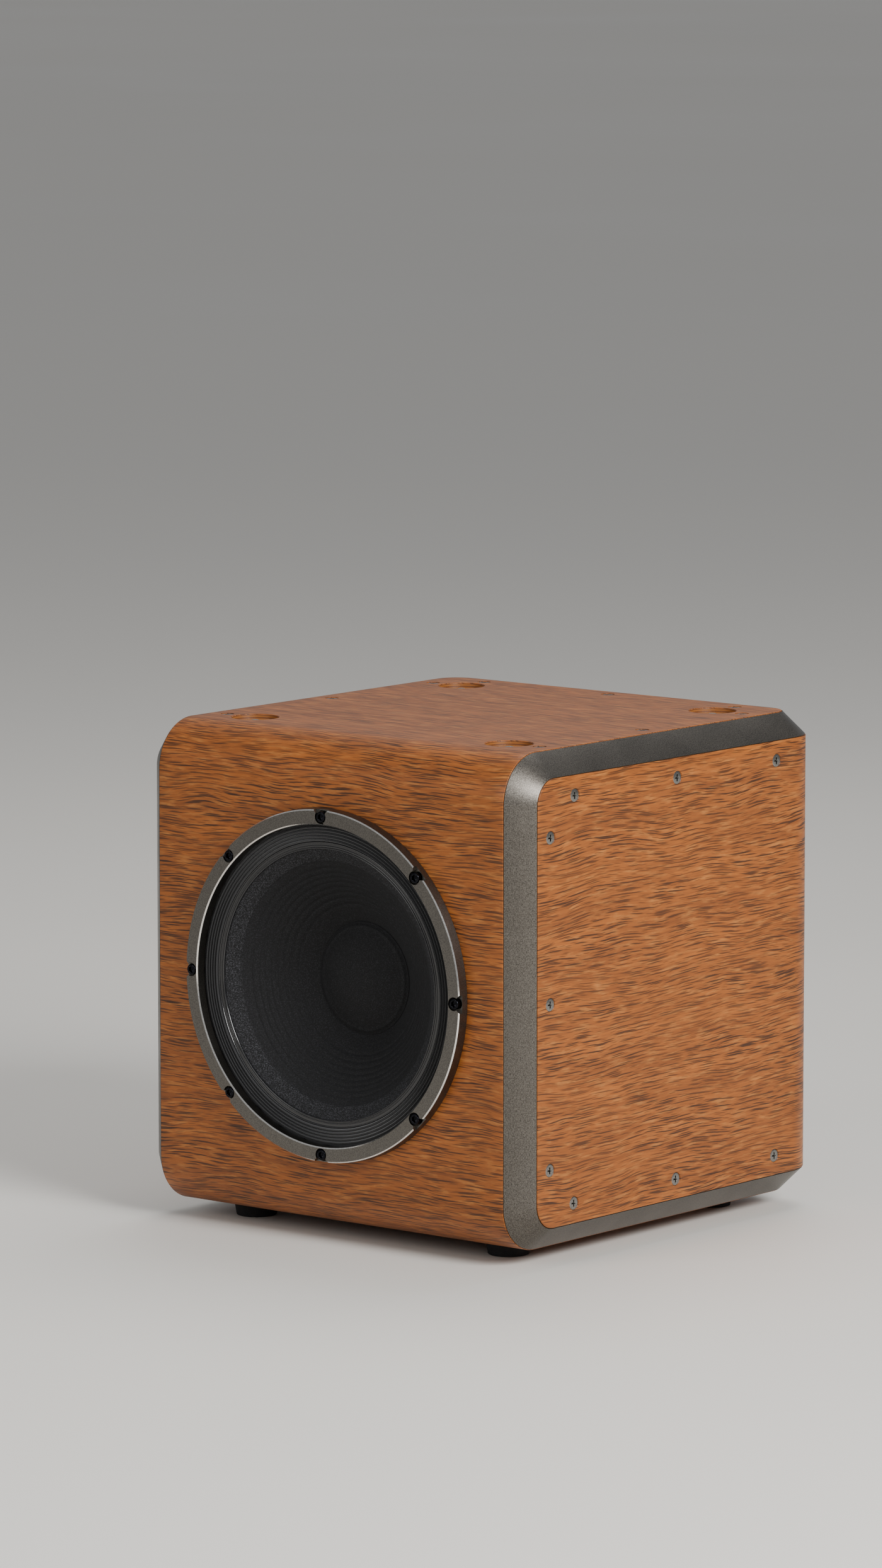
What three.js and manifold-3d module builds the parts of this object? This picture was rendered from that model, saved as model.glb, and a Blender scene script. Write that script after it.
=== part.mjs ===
// A cube-shaped subwoofer cabinet. Two bent plywood shells, each a C in section, interlock like the two
// halves of a tennis ball, and a bevelled metal frame runs along the seam between them. The front shell is
// the top, the front and the bottom; the rear shell is both sides and the rear.
//
// Millimetres. +X is the cabinet's right as seen from the front, -Y its front, +Z up. The origin is on the
// surface it stands on, under the middle of its bounding box. The model is built with y = 0 on the front
// face and z = 0 under the bottom panel, and the group moves it to that origin at the end.

import * as THREE from "three";
import { mergeVertices } from "three/addons/utils/BufferGeometryUtils.js";
import { ConvexGeometry } from "three/addons/geometries/ConvexGeometry.js";
import Module from "manifold-3d";

const wasm = await Module();
wasm.setup();

// ---------------------------------------------------------------- driving dimensions

const SEAT_GAP = 0.3; // between two pieces that rest on each other
const RUN_GAP = 0.45; // between a piece that moves and what it moves in

const CABINET = { width: 432, depth: 435, height: 434, cornerRadius: 44, wall: 18, bevelPastWall: 3.5 };
const FLANGE = { thickness: 4.2, pastScrews: 14 };
const SHELL_SCREW = {
  inset: 17.5, // from the wood's edge
  perEdge: 3,
  headRadius: 5.65,
  shankRadius: 3,
  sunk: 0.4,
};
const STRIP = { thickness: 4, width: 14, endPast: 12 };

const FOOT = { height: 14, inset: 72, topRadius: 20, bottomRadius: 18, screwLength: 20 };
const CUP = { radius: 21.1, depth: 4.5 };
const STUD = { domeRadius: 5, domeHeight: 2.7, shankRadius: 3, sunk: 0.6 };
const FOOT_SCREW = { headRadius: 5.5, headHeight: 3, shankRadius: 2.5, recess: 7, crown: 0.6, side: 0.4 };

const DRIVER = {
  boltCircle: 149,
  boltCount: 8,
  rimRadius: 156,
  rimDraft: 0.75,
  innerRadius: 142,
  proud: 10.5,
  edge: 0.6,
  flangeThickness: 4.7,
  gasketThickness: 1.2,
  cutoutRadius: 141.5,
};
const BOLT = { headRadius: 4.85, headHeight: 6, shankRadius: 3, length: 28, proud: 10.7, key: 2.5 };
const NOTCH = { aroundHead: 1.15, floor: 4, rimHalfWidth: 8.9 };

const SURROUND = { outer: 141.7, pleatOuter: 140, pleatInner: 126, inner: 119.6, pleats: 5, height: -1.6 };
const CLOTH = 0.8;
const CONE = { outer: 125.4, aroundFormer: 0.6, slope: 0.7, wall: 1.6, stepRadius: 108, step: 0.8 };
const DUST_CAP = { radius: 50, rise: 13, wall: 1.4 };
const FORMER = { radius: 38, wall: 0.8, pastNeck: 4 };
const COIL = { wall: 1.1, length: 14 };
const BASKET = {
  wall: 5,
  straight: 14,
  rearRadius: 97,
  depth: 84,
  rearPlate: 4.7,
  rearRim: 10, // straight again, before the rear plate
  shelfWidth: 8,
  aroundFormer: 8,
  windows: 8,
};
const WINDOW = { width: 38, from: 26, to: 62, middleRadius: 135 };
const SPIDER = { outer: 94, depth: 66, ripples: 2, height: 2, rim: 10, collar: 6 };
const MOTOR = { plateRadius: 75, plateThickness: 10, magnetRadius: 90, magnetThickness: 20 };
const YOKE = { radius: 84, thickness: 10, insideFormer: 1.2, ventRadius: 12 };
const COIL_CLEARANCE = 1.5;
const TERMINAL = { width: 26, depth: 14, height: 12, radius: 103, inset: 4, leadSpacing: 14 };
// The route's points: the share of the way back, how far the pair has spread, and how far it has dropped.
const LEAD = {
  radius: 1.8,
  steps: 14,
  route: [
    [0, 1, 0],
    [0.15, 1, 0],
    [0.5, 1.3, 12],
    [0.85, 1.6, 32],
    [1, 1.6, 34],
  ],
};

const BRACE = { behindFront: 200, thickness: 18, border: 48, windowRadius: 40 };

const AMP = {
  width: 232,
  height: 252,
  cornerRadius: 8,
  plate: 3,
  gasket: 1.2,
  land: 13,
  openingRadius: 5,
  coverDepth: 58,
  coverWall: 1.5,
};
const COVER_CLEARANCE = 3;
const HEATSINK = { width: 160, height: 90, base: 3, proud: 10.7, fins: 9, fin: 2.6, up: 60 };
const BOARD = { width: 150, height: 190, thickness: 1.6, behindPlate: 30 };
const TRANSFORMER = { radius: 34, hole: 10, height: 20, up: 45 };
const KNOB = {
  radius: 8.5,
  tipRadius: 7,
  length: 9,
  shaftRadius: 2,
  shaftLength: 9,
  markWidth: 1.2,
  markDepth: 0.8,
};
const POT = { radius: 8, depth: 9, floor: 2, aroundSpindle: 0.4, bushWall: 1.1 };
const CONTROL_ROW = -12; // below the plate's middle
const INPUT_ROW = -72;
const GAIN_AT = -75;
const CROSSOVER_AT = -30;
const PHASE = {
  at: 12,
  width: 13,
  height: 13,
  depth: 11,
  window: 9,
  slot: [5, 8],
  pivotDepth: 3,
  leverRadius: 1.5,
  leverLength: 12,
  throw: 12,
};
const POWER = {
  at: 70,
  up: -16,
  width: 27,
  height: 15,
  depth: 14,
  rim: 1.6,
  bezel: 1.2,
  bezelReach: 2,
  wellDepth: 7,
  pivotDepth: 2,
  throw: 9,
};
const ROCKER = { below: 1, rise: 1.6, footInset: 0.4, tipInset: 0.2 };
const INLET = {
  at: 62,
  flange: [50, 27],
  flangeRadius: 3,
  rim: 2,
  cavity: [24.4, 16.2],
  cavityRadius: 2,
  wall: 2,
  around: 6, // how much larger the plate's opening is than the cavity
  depth: 16,
  body: 22,
  blade: [2, 10, 4],
  bladesAt: [[-7, -2], [0, 2], [7, -2]],
};
const XLR = {
  at: [-75, -30],
  flange: [26, 31],
  flangeRadius: 3,
  rim: 1.5,
  barrelRadius: 11.5,
  depth: 18,
  faceRadius: 9.5,
  groove: 2.2,
  pinDepth: 8,
  pinHole: 1.3,
  pinsAt: [[-3.4, 0], [3.4, 0], [0, -3.4]],
};

// Segments of a full circle, by the size of what is turned.
const LARGE = 32;
const MIDDLE = 20;
const SMALL = 12;
const TINY = 6;
const CORNER_SEGMENTS = 6; // of a quarter turn

// ---------------------------------------------------------------- worked-out sizes

const halfWidth = CABINET.width / 2;
const bevelLeg = CABINET.wall + CABINET.bevelPastWall; // so that the frame's nose reaches its flanges
const middleUp = CABINET.height / 2;
const screwLine = bevelLeg + SHELL_SCREW.inset; // from the cabinet's faces
const flangeStart = CABINET.wall + SEAT_GAP;
const flangeEnd = flangeStart + FLANGE.thickness;
const flangeReach = screwLine + FLANGE.pastScrews;
const stripStart = flangeEnd + SEAT_GAP;
const stripEnd = stripStart + STRIP.thickness;
const shankEnd = stripEnd + 1;
const rearFace = CABINET.depth;
const rearInside = rearFace - CABINET.wall;
const cupFloor = CABINET.height - CUP.depth;
const studStart = CABINET.height - CABINET.wall;

// ---------------------------------------------------------------- finishes

function finish(color, roughness, metalness) {
  return new THREE.MeshStandardMaterial({ color, roughness, metalness });
}


const VENEER = finish(0x9a5f3a, 0.45, 0);
const BEVEL_METAL = finish(0x8d8781, 0.38, 1);
const CAST_METAL = finish(0x77736e, 0.45, 1);
const STEEL = finish(0x9c9a96, 0.3, 1);
const BLACK_STEEL = finish(0x15151a, 0.3, 0.8);
const PAPER = finish(0x26262a, 0.9, 0);
const PLEATED_CLOTH = finish(0x101012, 0.95, 0);
const PLYWOOD = finish(0xc9a87a, 0.7, 0);
const RUBBER = finish(0x161616, 0.9, 0);
const COPPER = finish(0xb06a3c, 0.35, 1);
const FERRITE = finish(0x2c2c2e, 0.8, 0);
const BLACK_PLATE = finish(0x1b1b1d, 0.55, 0.6);
const BLACK_PLASTIC = finish(0x121214, 0.5, 0);
const GREEN_BOARD = finish(0x1e4a2c, 0.6, 0);
const FOAM = finish(0x222222, 1, 0);

// ---------------------------------------------------------------- solids

// A closed three.js geometry as a solid that can be joined and cut.
function solid(geometry) {
  const bare = geometry.clone();
  bare.deleteAttribute("normal");
  bare.deleteAttribute("uv");
  const merged = mergeVertices(bare, 1e-4);
  const triVerts = new Uint32Array(merged.index.array);
  const vertProperties = merged.attributes.position.array;
  return new wasm.Manifold(new wasm.Mesh({ numProp: 3, vertProperties, triVerts }));
}

function geometryOf(piece) {
  if (piece.isBufferGeometry) return piece;
  const { vertProperties, triVerts } = piece.getMesh();
  const geometry = new THREE.BufferGeometry();
  geometry.setAttribute("position", new THREE.BufferAttribute(new Float32Array(vertProperties), 3));
  geometry.setIndex(new THREE.BufferAttribute(new Uint32Array(triVerts), 1));
  return geometry;
}

const join = (...pieces) => pieces.reduce((whole, piece) => whole.add(piece));
const cut = (piece, ...tools) => tools.reduce((left, tool) => left.subtract(tool), piece);

// A box between two corners.
function box(x0, y0, z0, x1, y1, z1) {
  const geometry = new THREE.BoxGeometry(x1 - x0, y1 - y0, z1 - z0);
  return solid(geometry.translate((x0 + x1) / 2, (y0 + y1) / 2, (z0 + z1) / 2));
}

// A profile of [radius, distance] pairs turned about +Y, closed by itself or by the axis.
function turned(profile, segments) {
  const points = profile.map(([r, y]) => new THREE.Vector2(r, y));
  const onAxis = profile[0][0] === 0 && profile[profile.length - 1][0] === 0;
  if (!onAxis) points.push(points[0].clone());
  if (THREE.ShapeUtils.area(points) < 0) points.reverse();
  return new THREE.LatheGeometry(points, segments);
}

// The corner radius of a many-sided hole whose flats clear a round of that radius.
const holeRadius = (radius, segments) => (radius + SEAT_GAP) / Math.cos(Math.PI / segments);

const turnedRound = (profile, segments, x, z) => solid(turned(profile, segments).translate(x, 0, z));

// The profile of a rod that runs from `from` to `to` along the axis.
const rodProfile = (radius, from, to) => [[0, from], [radius, from], [radius, to], [0, to]];

// A profile turned about +Y, then aimed so that +Y points along `direction` and its zero is at `at`.
function aimed(profile, segments, at, direction) {
  const turn = new THREE.Quaternion().setFromUnitVectors(new THREE.Vector3(0, 1, 0), direction);
  return solid(turned(profile, segments).applyQuaternion(turn).translate(at.x, at.y, at.z));
}

// The points of a rounded corner: a quarter turn from `start` about [u, v], or [u, v] itself at radius 0.
function cornerPoints(u, v, radius, start, segments = CORNER_SEGMENTS) {
  if (radius <= 0) return [[u, v]];
  return Array.from({ length: segments + 1 }, (_, i) => {
    const angle = start + (i * Math.PI) / 2 / segments;
    return [u + radius * Math.cos(angle), v + radius * Math.sin(angle)];
  });
}

const outlineOf = (points) => new THREE.Shape(points.map(([u, v]) => new THREE.Vector2(u, v)));

// An outline drawn in X and Z and pushed along +Y from y0 to y1.
function pushedBack(outline, y0, y1) {
  const geometry = new THREE.ExtrudeGeometry(outline, { depth: y1 - y0, bevelEnabled: false });
  return solid(geometry.rotateX(Math.PI / 2).translate(0, y1, 0));
}

function roundedRectangle(width, height, radius, x, z, segments) {
  const u = width / 2 - radius;
  const v = height / 2 - radius;
  const quarter = Math.PI / 2;
  return outlineOf([
    ...cornerPoints(x + u, z + v, radius, 0, segments),
    ...cornerPoints(x - u, z + v, radius, quarter, segments),
    ...cornerPoints(x - u, z - v, radius, 2 * quarter, segments),
    ...cornerPoints(x + u, z - v, radius, 3 * quarter, segments),
  ]);
}

// ---------------------------------------------------------------- the two outlines

// Everything at least `inset` behind the front shell's skin: front, top and bottom, with both front edges
// rounded. It runs on past the rear and past both sides.
function insideFrontOutline(inset) {
  const past = 2 * CABINET.depth;
  const width = 2 * CABINET.width;
  const radius = Math.max(CABINET.cornerRadius - inset, 0);
  const low = inset + radius;
  const high = CABINET.height - inset - radius;
  const outline = outlineOf([
    [past, inset],
    [past, CABINET.height - inset],
    ...cornerPoints(low, high, radius, Math.PI / 2),
    ...cornerPoints(low, low, radius, Math.PI),
  ]);
  // The outline's own x runs back, its y runs up, and it is pushed from left to right.
  const turn = new THREE.Matrix4().set(0, 0, 1, -width / 2, 1, 0, 0, 0, 0, 1, 0, 0, 0, 0, 0, 1);
  return solid(new THREE.ExtrudeGeometry(outline, { depth: width, bevelEnabled: false }).applyMatrix4(turn));
}

// Everything at least `inset` behind the rear shell's skin: both sides and the rear, with both rear edges
// rounded. It runs on past the front, the top and the bottom.
function insideRearOutline(inset) {
  const past = CABINET.height;
  const radius = Math.max(CABINET.cornerRadius - inset, 0);
  const right = halfWidth - inset - radius;
  const back = rearFace - inset - radius;
  const outline = outlineOf([
    [inset - halfWidth, -past],
    [halfWidth - inset, -past],
    ...cornerPoints(right, back, radius, 0),
    ...cornerPoints(-right, back, radius, Math.PI / 2),
  ]);
  const options = { depth: 3 * past, bevelEnabled: false };
  return solid(new THREE.ExtrudeGeometry(outline, options).translate(0, 0, -past));
}

// The whole cabinet's outside, bevelled along the seam. It is convex, so it is the hull of the seam's edges.
function bevelledCabinet() {
  const { cornerRadius: radius, height } = CABINET;
  const leg = bevelLeg;
  const points = [];
  for (const [inset, x] of [[0, halfWidth - leg], [leg, halfWidth]])
    for (const [y, z] of [
      ...cornerPoints(radius, height - radius, radius - inset, Math.PI / 2),
      ...cornerPoints(radius, radius, radius - inset, Math.PI),
    ])
      points.push(new THREE.Vector3(x, y, z), new THREE.Vector3(-x, y, z));
  for (const [inset, low] of [[leg, 0], [0, leg]])
    for (const [x, y] of cornerPoints(halfWidth - radius, rearFace - radius, radius - inset, 0))
      for (const z of [low, height - low])
        points.push(new THREE.Vector3(x, y, z), new THREE.Vector3(-x, y, z));
  return solid(new ConvexGeometry(points));
}

// ---------------------------------------------------------------- shell screws

// Where a wing's screws go: the middles of equal shares of the edge.
function spread(from, to) {
  const step = (to - from) / SHELL_SCREW.perEdge;
  return Array.from({ length: SHELL_SCREW.perEdge }, (_, i) => from + (i + 0.5) * step);
}

const acrossScrews = spread(-halfWidth, halfWidth);
const deepScrews = spread(0, rearFace);
const upScrews = spread(0, CABINET.height);

// A flat wing of a shell: its outward direction, and its screws on the skin.
function sideWing(side) {
  const x = side * halfWidth;
  const at = [
    ...upScrews.map((z) => new THREE.Vector3(x, screwLine, z)),
    ...deepScrews.map((y) => new THREE.Vector3(x, y, screwLine)),
    ...deepScrews.map((y) => new THREE.Vector3(x, y, CABINET.height - screwLine)),
  ];
  return { inward: new THREE.Vector3(-side, 0, 0), at };
}

function levelWing(side) {
  const z = side > 0 ? CABINET.height : 0;
  const at = [
    ...acrossScrews.map((x) => new THREE.Vector3(x, rearFace - screwLine, z)),
    ...deepScrews.map((y) => new THREE.Vector3(halfWidth - screwLine, y, z)),
    ...deepScrews.map((y) => new THREE.Vector3(screwLine - halfWidth, y, z)),
  ];
  return { inward: new THREE.Vector3(0, 0, -side), at };
}

const WINGS = {
  right: sideWing(1),
  left: sideWing(-1),
  top: levelWing(1),
  bottom: levelWing(-1),
};

// Countersink and hole through a wing and the flange behind it.
function screwClearance({ inward, at }) {
  const mouth = SHELL_SCREW.headRadius + SHELL_SCREW.sunk + SEAT_GAP;
  const hole = SHELL_SCREW.shankRadius + SEAT_GAP;
  const above = 1;
  const profile = [
    [0, -above],
    [mouth + above, -above],
    [hole, mouth - hole],
    [hole, shankEnd],
    [0, shankEnd],
  ];
  return join(...at.map((point) => aimed(profile, TINY, point, inward)));
}

// One wing's screws, joined by the tapped strip that they pull on.
function wingScrews({ inward, at }, strip) {
  const { headRadius, shankRadius, sunk } = SHELL_SCREW;
  const profile = [
    [0, sunk],
    [headRadius, sunk],
    [shankRadius, sunk + headRadius - shankRadius],
    [shankRadius, shankEnd],
    [0, shankEnd],
  ];
  return join(strip, ...at.map((point) => aimed(profile, TINY, point, inward)));
}

function sideStrip(side) {
  const inner = side * (halfWidth - stripEnd);
  const outer = side * (halfWidth - stripStart);
  const [x0, x1] = [Math.min(inner, outer), Math.max(inner, outer)];
  const half = STRIP.width / 2;
  const end = deepScrews[deepScrews.length - 1] + STRIP.endPast;
  const topUp = CABINET.height - screwLine;
  return join(
    box(x0, screwLine - half, screwLine - half, x1, screwLine + half, topUp + half),
    box(x0, screwLine, screwLine - half, x1, end, screwLine + half),
    box(x0, screwLine, topUp - half, x1, end, topUp + half),
  );
}

function levelStrip(side) {
  const low = [stripStart, stripEnd];
  const [z0, z1] = side > 0 ? low.map((z) => CABINET.height - z).reverse() : low;
  const half = STRIP.width / 2;
  const back = rearFace - screwLine;
  const out = halfWidth - screwLine;
  const start = deepScrews[0] - STRIP.endPast;
  return join(
    box(-out - half, back - half, z0, out + half, back + half, z1),
    box(out - half, start, z0, out + half, back, z1),
    box(-out - half, start, z0, -out + half, back, z1),
  );
}

// ---------------------------------------------------------------- feet and stacking cups

const footPlaces = [
  ["front_left", -1, FOOT.inset],
  ["front_right", 1, FOOT.inset],
  ["rear_left", -1, rearFace - FOOT.inset],
  ["rear_right", 1, rearFace - FOOT.inset],
].map(([name, side, y]) => ({ name, x: side * (halfWidth - FOOT.inset), y }));

const UP = new THREE.Vector3(0, 0, 1);

function foot() {
  const { height, topRadius, bottomRadius } = FOOT;
  const well = FOOT_SCREW.headRadius + 1;
  const hole = FOOT_SCREW.shankRadius + SEAT_GAP;
  return [
    [well, -height],
    [bottomRadius, -height],
    [topRadius, -SEAT_GAP],
    [hole, -SEAT_GAP],
    [hole, FOOT_SCREW.recess - height],
    [well, FOOT_SCREW.recess - height],
  ];
}

function footScrew() {
  const { headRadius, headHeight, shankRadius, recess, crown, side } = FOOT_SCREW;
  const seat = recess - FOOT.height - SEAT_GAP;
  return [
    [0, seat - headHeight],
    [headRadius * crown, seat - headHeight],
    [headRadius, seat - headHeight * side],
    [headRadius, seat],
    [shankRadius, seat],
    [shankRadius, seat + FOOT.screwLength],
    [0, seat + FOOT.screwLength],
  ];
}

function stud() {
  const { domeRadius, domeHeight, shankRadius } = STUD;
  const floor = cupFloor - STUD.sunk + SEAT_GAP;
  return [
    [0, studStart],
    [shankRadius, studStart],
    [shankRadius, floor],
    [domeRadius, floor],
    [domeRadius * 0.9, floor + domeHeight * 0.5],
    [domeRadius * 0.5, floor + domeHeight * 0.9],
    [0, floor + domeHeight],
  ];
}

// What the feet and cups take out of the front shell.
function footAndCupClearance({ x, y }) {
  const at = { x, y, z: 0 };
  const pilot = holeRadius(FOOT_SCREW.shankRadius, TINY);
  const pilotEnd = CABINET.wall - 2;
  const above = 1;
  const seat = cupFloor - STUD.sunk;
  return join(
    aimed(rodProfile(CUP.radius, cupFloor, CABINET.height + above), MIDDLE, at, UP),
    aimed(rodProfile(holeRadius(STUD.domeRadius, SMALL), seat, cupFloor + above), SMALL, at, UP),
    aimed(rodProfile(STUD.shankRadius + SEAT_GAP, studStart - above, cupFloor), SMALL, at, UP),
    aimed(rodProfile(pilot, -above, pilotEnd), TINY, at, UP),
  );
}

// ---------------------------------------------------------------- driver

const onDriver = (profile, segments) => turnedRound(profile, segments, 0, middleUp);
const gasketBack = DRIVER.flangeThickness + SEAT_GAP + DRIVER.gasketThickness;
const rabbetDepth = gasketBack + SEAT_GAP;
const flangeRadius = DRIVER.rimRadius - 1;
const boltSeat = BOLT.headHeight - BOLT.proud; // the underside of a bolt's head
const boltAngles = Array.from({ length: DRIVER.boltCount }, (_, i) => (i * 2 * Math.PI) / DRIVER.boltCount);

function atBolt(angle, profile, segments) {
  const x = DRIVER.boltCircle * Math.cos(angle);
  const z = middleUp + DRIVER.boltCircle * Math.sin(angle);
  return turnedRound(profile, segments, x, z);
}

function boltHoles(from, to) {
  const hole = rodProfile(holeRadius(BOLT.shankRadius, TINY), from, to);
  return join(...boltAngles.map((angle) => atBolt(angle, hole, TINY)));
}

// The opening of the baffle: the driver's hole with the step that its flange lies in, and the bolt holes.
function driverClearance() {
  const above = 1;
  return join(
    onDriver(rodProfile(DRIVER.cutoutRadius, -above, CABINET.wall + above), LARGE),
    onDriver(rodProfile(flangeRadius + SEAT_GAP, -above, rabbetDepth), LARGE),
    boltHoles(0, CABINET.wall + above),
  );
}

// A notch of the trim ring: a round seat for the bolt's head, and a wedge open to the rim, less deep.
function notch(angle) {
  const face = -DRIVER.proud;
  const above = 1;
  const past = 2;
  const boreRadius = BOLT.headRadius + NOTCH.aroundHead;
  const seat = atBolt(angle, rodProfile(boreRadius, face - above, boltSeat + SEAT_GAP), SMALL);
  const apex = DRIVER.rimRadius - NOTCH.rimHalfWidth;
  const wedge = new THREE.Shape();
  wedge.moveTo(apex, 0);
  wedge.lineTo(apex + NOTCH.rimHalfWidth + past, -NOTCH.rimHalfWidth - past);
  wedge.lineTo(apex + NOTCH.rimHalfWidth + past, NOTCH.rimHalfWidth + past);
  const options = { depth: NOTCH.floor + above, bevelEnabled: false };
  const geometry = new THREE.ExtrudeGeometry(wedge, options);
  geometry.rotateX(Math.PI / 2).translate(0, face + NOTCH.floor, 0);
  return join(seat, solid(geometry.rotateY(-angle).translate(0, 0, middleUp)));
}

function trimRing() {
  const { rimRadius, rimDraft, innerRadius, proud, edge } = DRIVER;
  const body = onDriver(
    [
      [innerRadius, -SEAT_GAP],
      [innerRadius, -proud + edge],
      [innerRadius + edge, -proud],
      [rimRadius - rimDraft - edge, -proud],
      [rimRadius - rimDraft, -proud + edge],
      [rimRadius, -SEAT_GAP],
    ],
    LARGE,
  );
  return cut(body, boltHoles(-proud, 0), ...boltAngles.map(notch));
}

function driverBolt(angle) {
  const { headRadius, headHeight, shankRadius, length, proud, key } = BOLT;
  const head = -proud;
  const blank = atBolt(
    angle,
    [
      [0, head],
      [headRadius, head],
      [headRadius, head + headHeight],
      [shankRadius, head + headHeight],
      [shankRadius, head + length],
      [0, head + length],
    ],
    SMALL,
  );
  return cut(blank, atBolt(angle, rodProfile(key, head - 1, head + headHeight / 2), 6));
}

const driverGasket = () =>
  cut(
    onDriver(
      [
        [DRIVER.cutoutRadius + 1, DRIVER.flangeThickness + SEAT_GAP],
        [flangeRadius, DRIVER.flangeThickness + SEAT_GAP],
        [flangeRadius, gasketBack],
        [DRIVER.cutoutRadius + 1, gasketBack],
      ],
      LARGE,
    ),
    boltHoles(0, rabbetDepth),
  );

// The cast basket: flange, tapering wall with windows, shelf for the spider and rear plate for the motor.
const wallOuter = DRIVER.cutoutRadius - SEAT_GAP;
const taper = (wallOuter - BASKET.rearRadius) / (BASKET.depth - BASKET.rearRim - BASKET.straight);
const wallRadiusAt = (y) => wallOuter - taper * Math.max(y - BASKET.straight, 0);

function basket() {
  const ledge = SEAT_GAP + CLOTH + SEAT_GAP;
  const wallInner = wallOuter - BASKET.wall / 2;
  const shelf = SPIDER.depth + CLOTH + SEAT_GAP;
  const innerAt = (y) => wallRadiusAt(y) - BASKET.wall;
  const shelfInner = SPIDER.outer - BASKET.shelfWidth;
  const rear = BASKET.depth - BASKET.rearPlate;
  const body = onDriver(
    [
      [wallInner, ledge],
      [SURROUND.outer + SEAT_GAP, ledge],
      [SURROUND.outer + SEAT_GAP, 0],
      [flangeRadius, 0],
      [flangeRadius, DRIVER.flangeThickness],
      [wallOuter, DRIVER.flangeThickness],
      [wallOuter, BASKET.straight],
      [BASKET.rearRadius, BASKET.depth - BASKET.rearRim],
      [BASKET.rearRadius, BASKET.depth],
      [FORMER.radius + BASKET.aroundFormer, BASKET.depth],
      [FORMER.radius + BASKET.aroundFormer, rear],
      [shelfInner, rear],
      [shelfInner, shelf],
      [innerAt(shelf), shelf],
      [innerAt(BASKET.straight) + BASKET.wall / 2, BASKET.straight],
    ],
    LARGE,
  );
  const windows = Array.from({ length: BASKET.windows }, (_, i) => {
    const angle = ((i + 0.5) * 2 * Math.PI) / BASKET.windows;
    const hole = new THREE.BoxGeometry(DRIVER.rimRadius, WINDOW.to - WINDOW.from, WINDOW.width);
    hole.translate(WINDOW.middleRadius, (WINDOW.to + WINDOW.from) / 2, 0);
    return solid(hole.rotateY(-angle).translate(0, 0, middleUp));
  });
  return cut(body, boltHoles(-1, DRIVER.flangeThickness + 1), ...windows);
}

// A pleated band between two flat rims: `height` is each pleat's depth, and the cloth is CLOTH thick.
function pleated(outer, foldOuter, foldInner, inner, pleats, height, depth) {
  const step = (foldOuter - foldInner) / (2 * pleats);
  const folds = Array.from({ length: 2 * pleats + 1 }, (_, i) => [
    foldOuter - i * step,
    depth + (i % 2 ? height : 0),
  ]);
  const front = [[outer, depth], ...folds, [inner, depth]];
  const back = front.map(([r, y]) => [r, y + CLOTH]).reverse();
  return [...front, ...back];
}

const surround = () =>
  onDriver(
    pleated(
      SURROUND.outer,
      SURROUND.pleatOuter,
      SURROUND.pleatInner,
      SURROUND.inner,
      SURROUND.pleats,
      SURROUND.height,
      SEAT_GAP,
    ),
    LARGE,
  );

const spider = () =>
  onDriver(
    pleated(
      SPIDER.outer,
      SPIDER.outer - SPIDER.rim,
      FORMER.radius + SPIDER.collar,
      FORMER.radius + COIL.wall + SEAT_GAP,
      SPIDER.ripples,
      -SPIDER.height,
      SPIDER.depth,
    ),
    MIDDLE,
  );

// The cone's rim lies behind the surround's, and its front falls away inward from there, with one fine step.
const edgeDepth = 2 * SEAT_GAP + CLOTH;
const coneFront = (r) => edgeDepth + CONE.slope * (SURROUND.inner - r);
const neck = FORMER.radius + CONE.aroundFormer;
const neckDepth = coneFront(neck);

function cone() {
  const { outer, wall, stepRadius, step } = CONE;
  return onDriver(
    [
      [outer, edgeDepth],
      [SURROUND.inner - 0.6, edgeDepth],
      [stepRadius, coneFront(stepRadius)],
      [stepRadius, coneFront(stepRadius) + step],
      [neck, neckDepth + step],
      [neck, neckDepth + step + wall * 1.4],
      [stepRadius, coneFront(stepRadius) + step + wall * 1.4],
      [SURROUND.inner - 2, edgeDepth + wall],
      [outer, edgeDepth + wall],
    ],
    LARGE,
  );
}

function dustCap() {
  const { radius, rise, wall } = DUST_CAP;
  const rim = coneFront(radius) + CONE.step - SEAT_GAP - wall;
  const dome = (r) => rim - rise * (1 - (r / radius) ** 2);
  const steps = 4;
  const radii = Array.from({ length: steps + 1 }, (_, i) => (i * radius) / steps);
  const front = radii.map((r) => [r, dome(r)]);
  const back = front.map(([r, y]) => [r * (1 - wall / radius), y + wall]).reverse();
  return onDriver([...front, ...back], MIDDLE);
}

const formerStart = neckDepth + CONE.step - FORMER.pastNeck;

function tube(radius, wall, from, length, segments) {
  return onDriver(
    [
      [radius - wall, from],
      [radius, from],
      [radius, from + length],
      [radius - wall, from + length],
    ],
    segments,
  );
}

const plateStart = BASKET.depth + SEAT_GAP;
const coilMiddle = plateStart + MOTOR.plateThickness / 2;
const bore = FORMER.radius + SEAT_GAP + COIL.wall + COIL_CLEARANCE;
const coilStart = coilMiddle - COIL.length / 2;
const formerLength = coilStart + COIL.length - formerStart;
const coilFormer = () => tube(FORMER.radius, FORMER.wall, formerStart, formerLength, MIDDLE);
const voiceCoil = () => tube(FORMER.radius + SEAT_GAP + COIL.wall, COIL.wall, coilStart, COIL.length, MIDDLE);

function plateRing(outer, inner, from, thickness) {
  return onDriver(
    [
      [inner, from],
      [outer, from],
      [outer, from + thickness],
      [inner, from + thickness],
    ],
    MIDDLE,
  );
}

const magnetStart = plateStart + MOTOR.plateThickness + SEAT_GAP;
const yokeStart = magnetStart + MOTOR.magnetThickness + SEAT_GAP;

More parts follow.
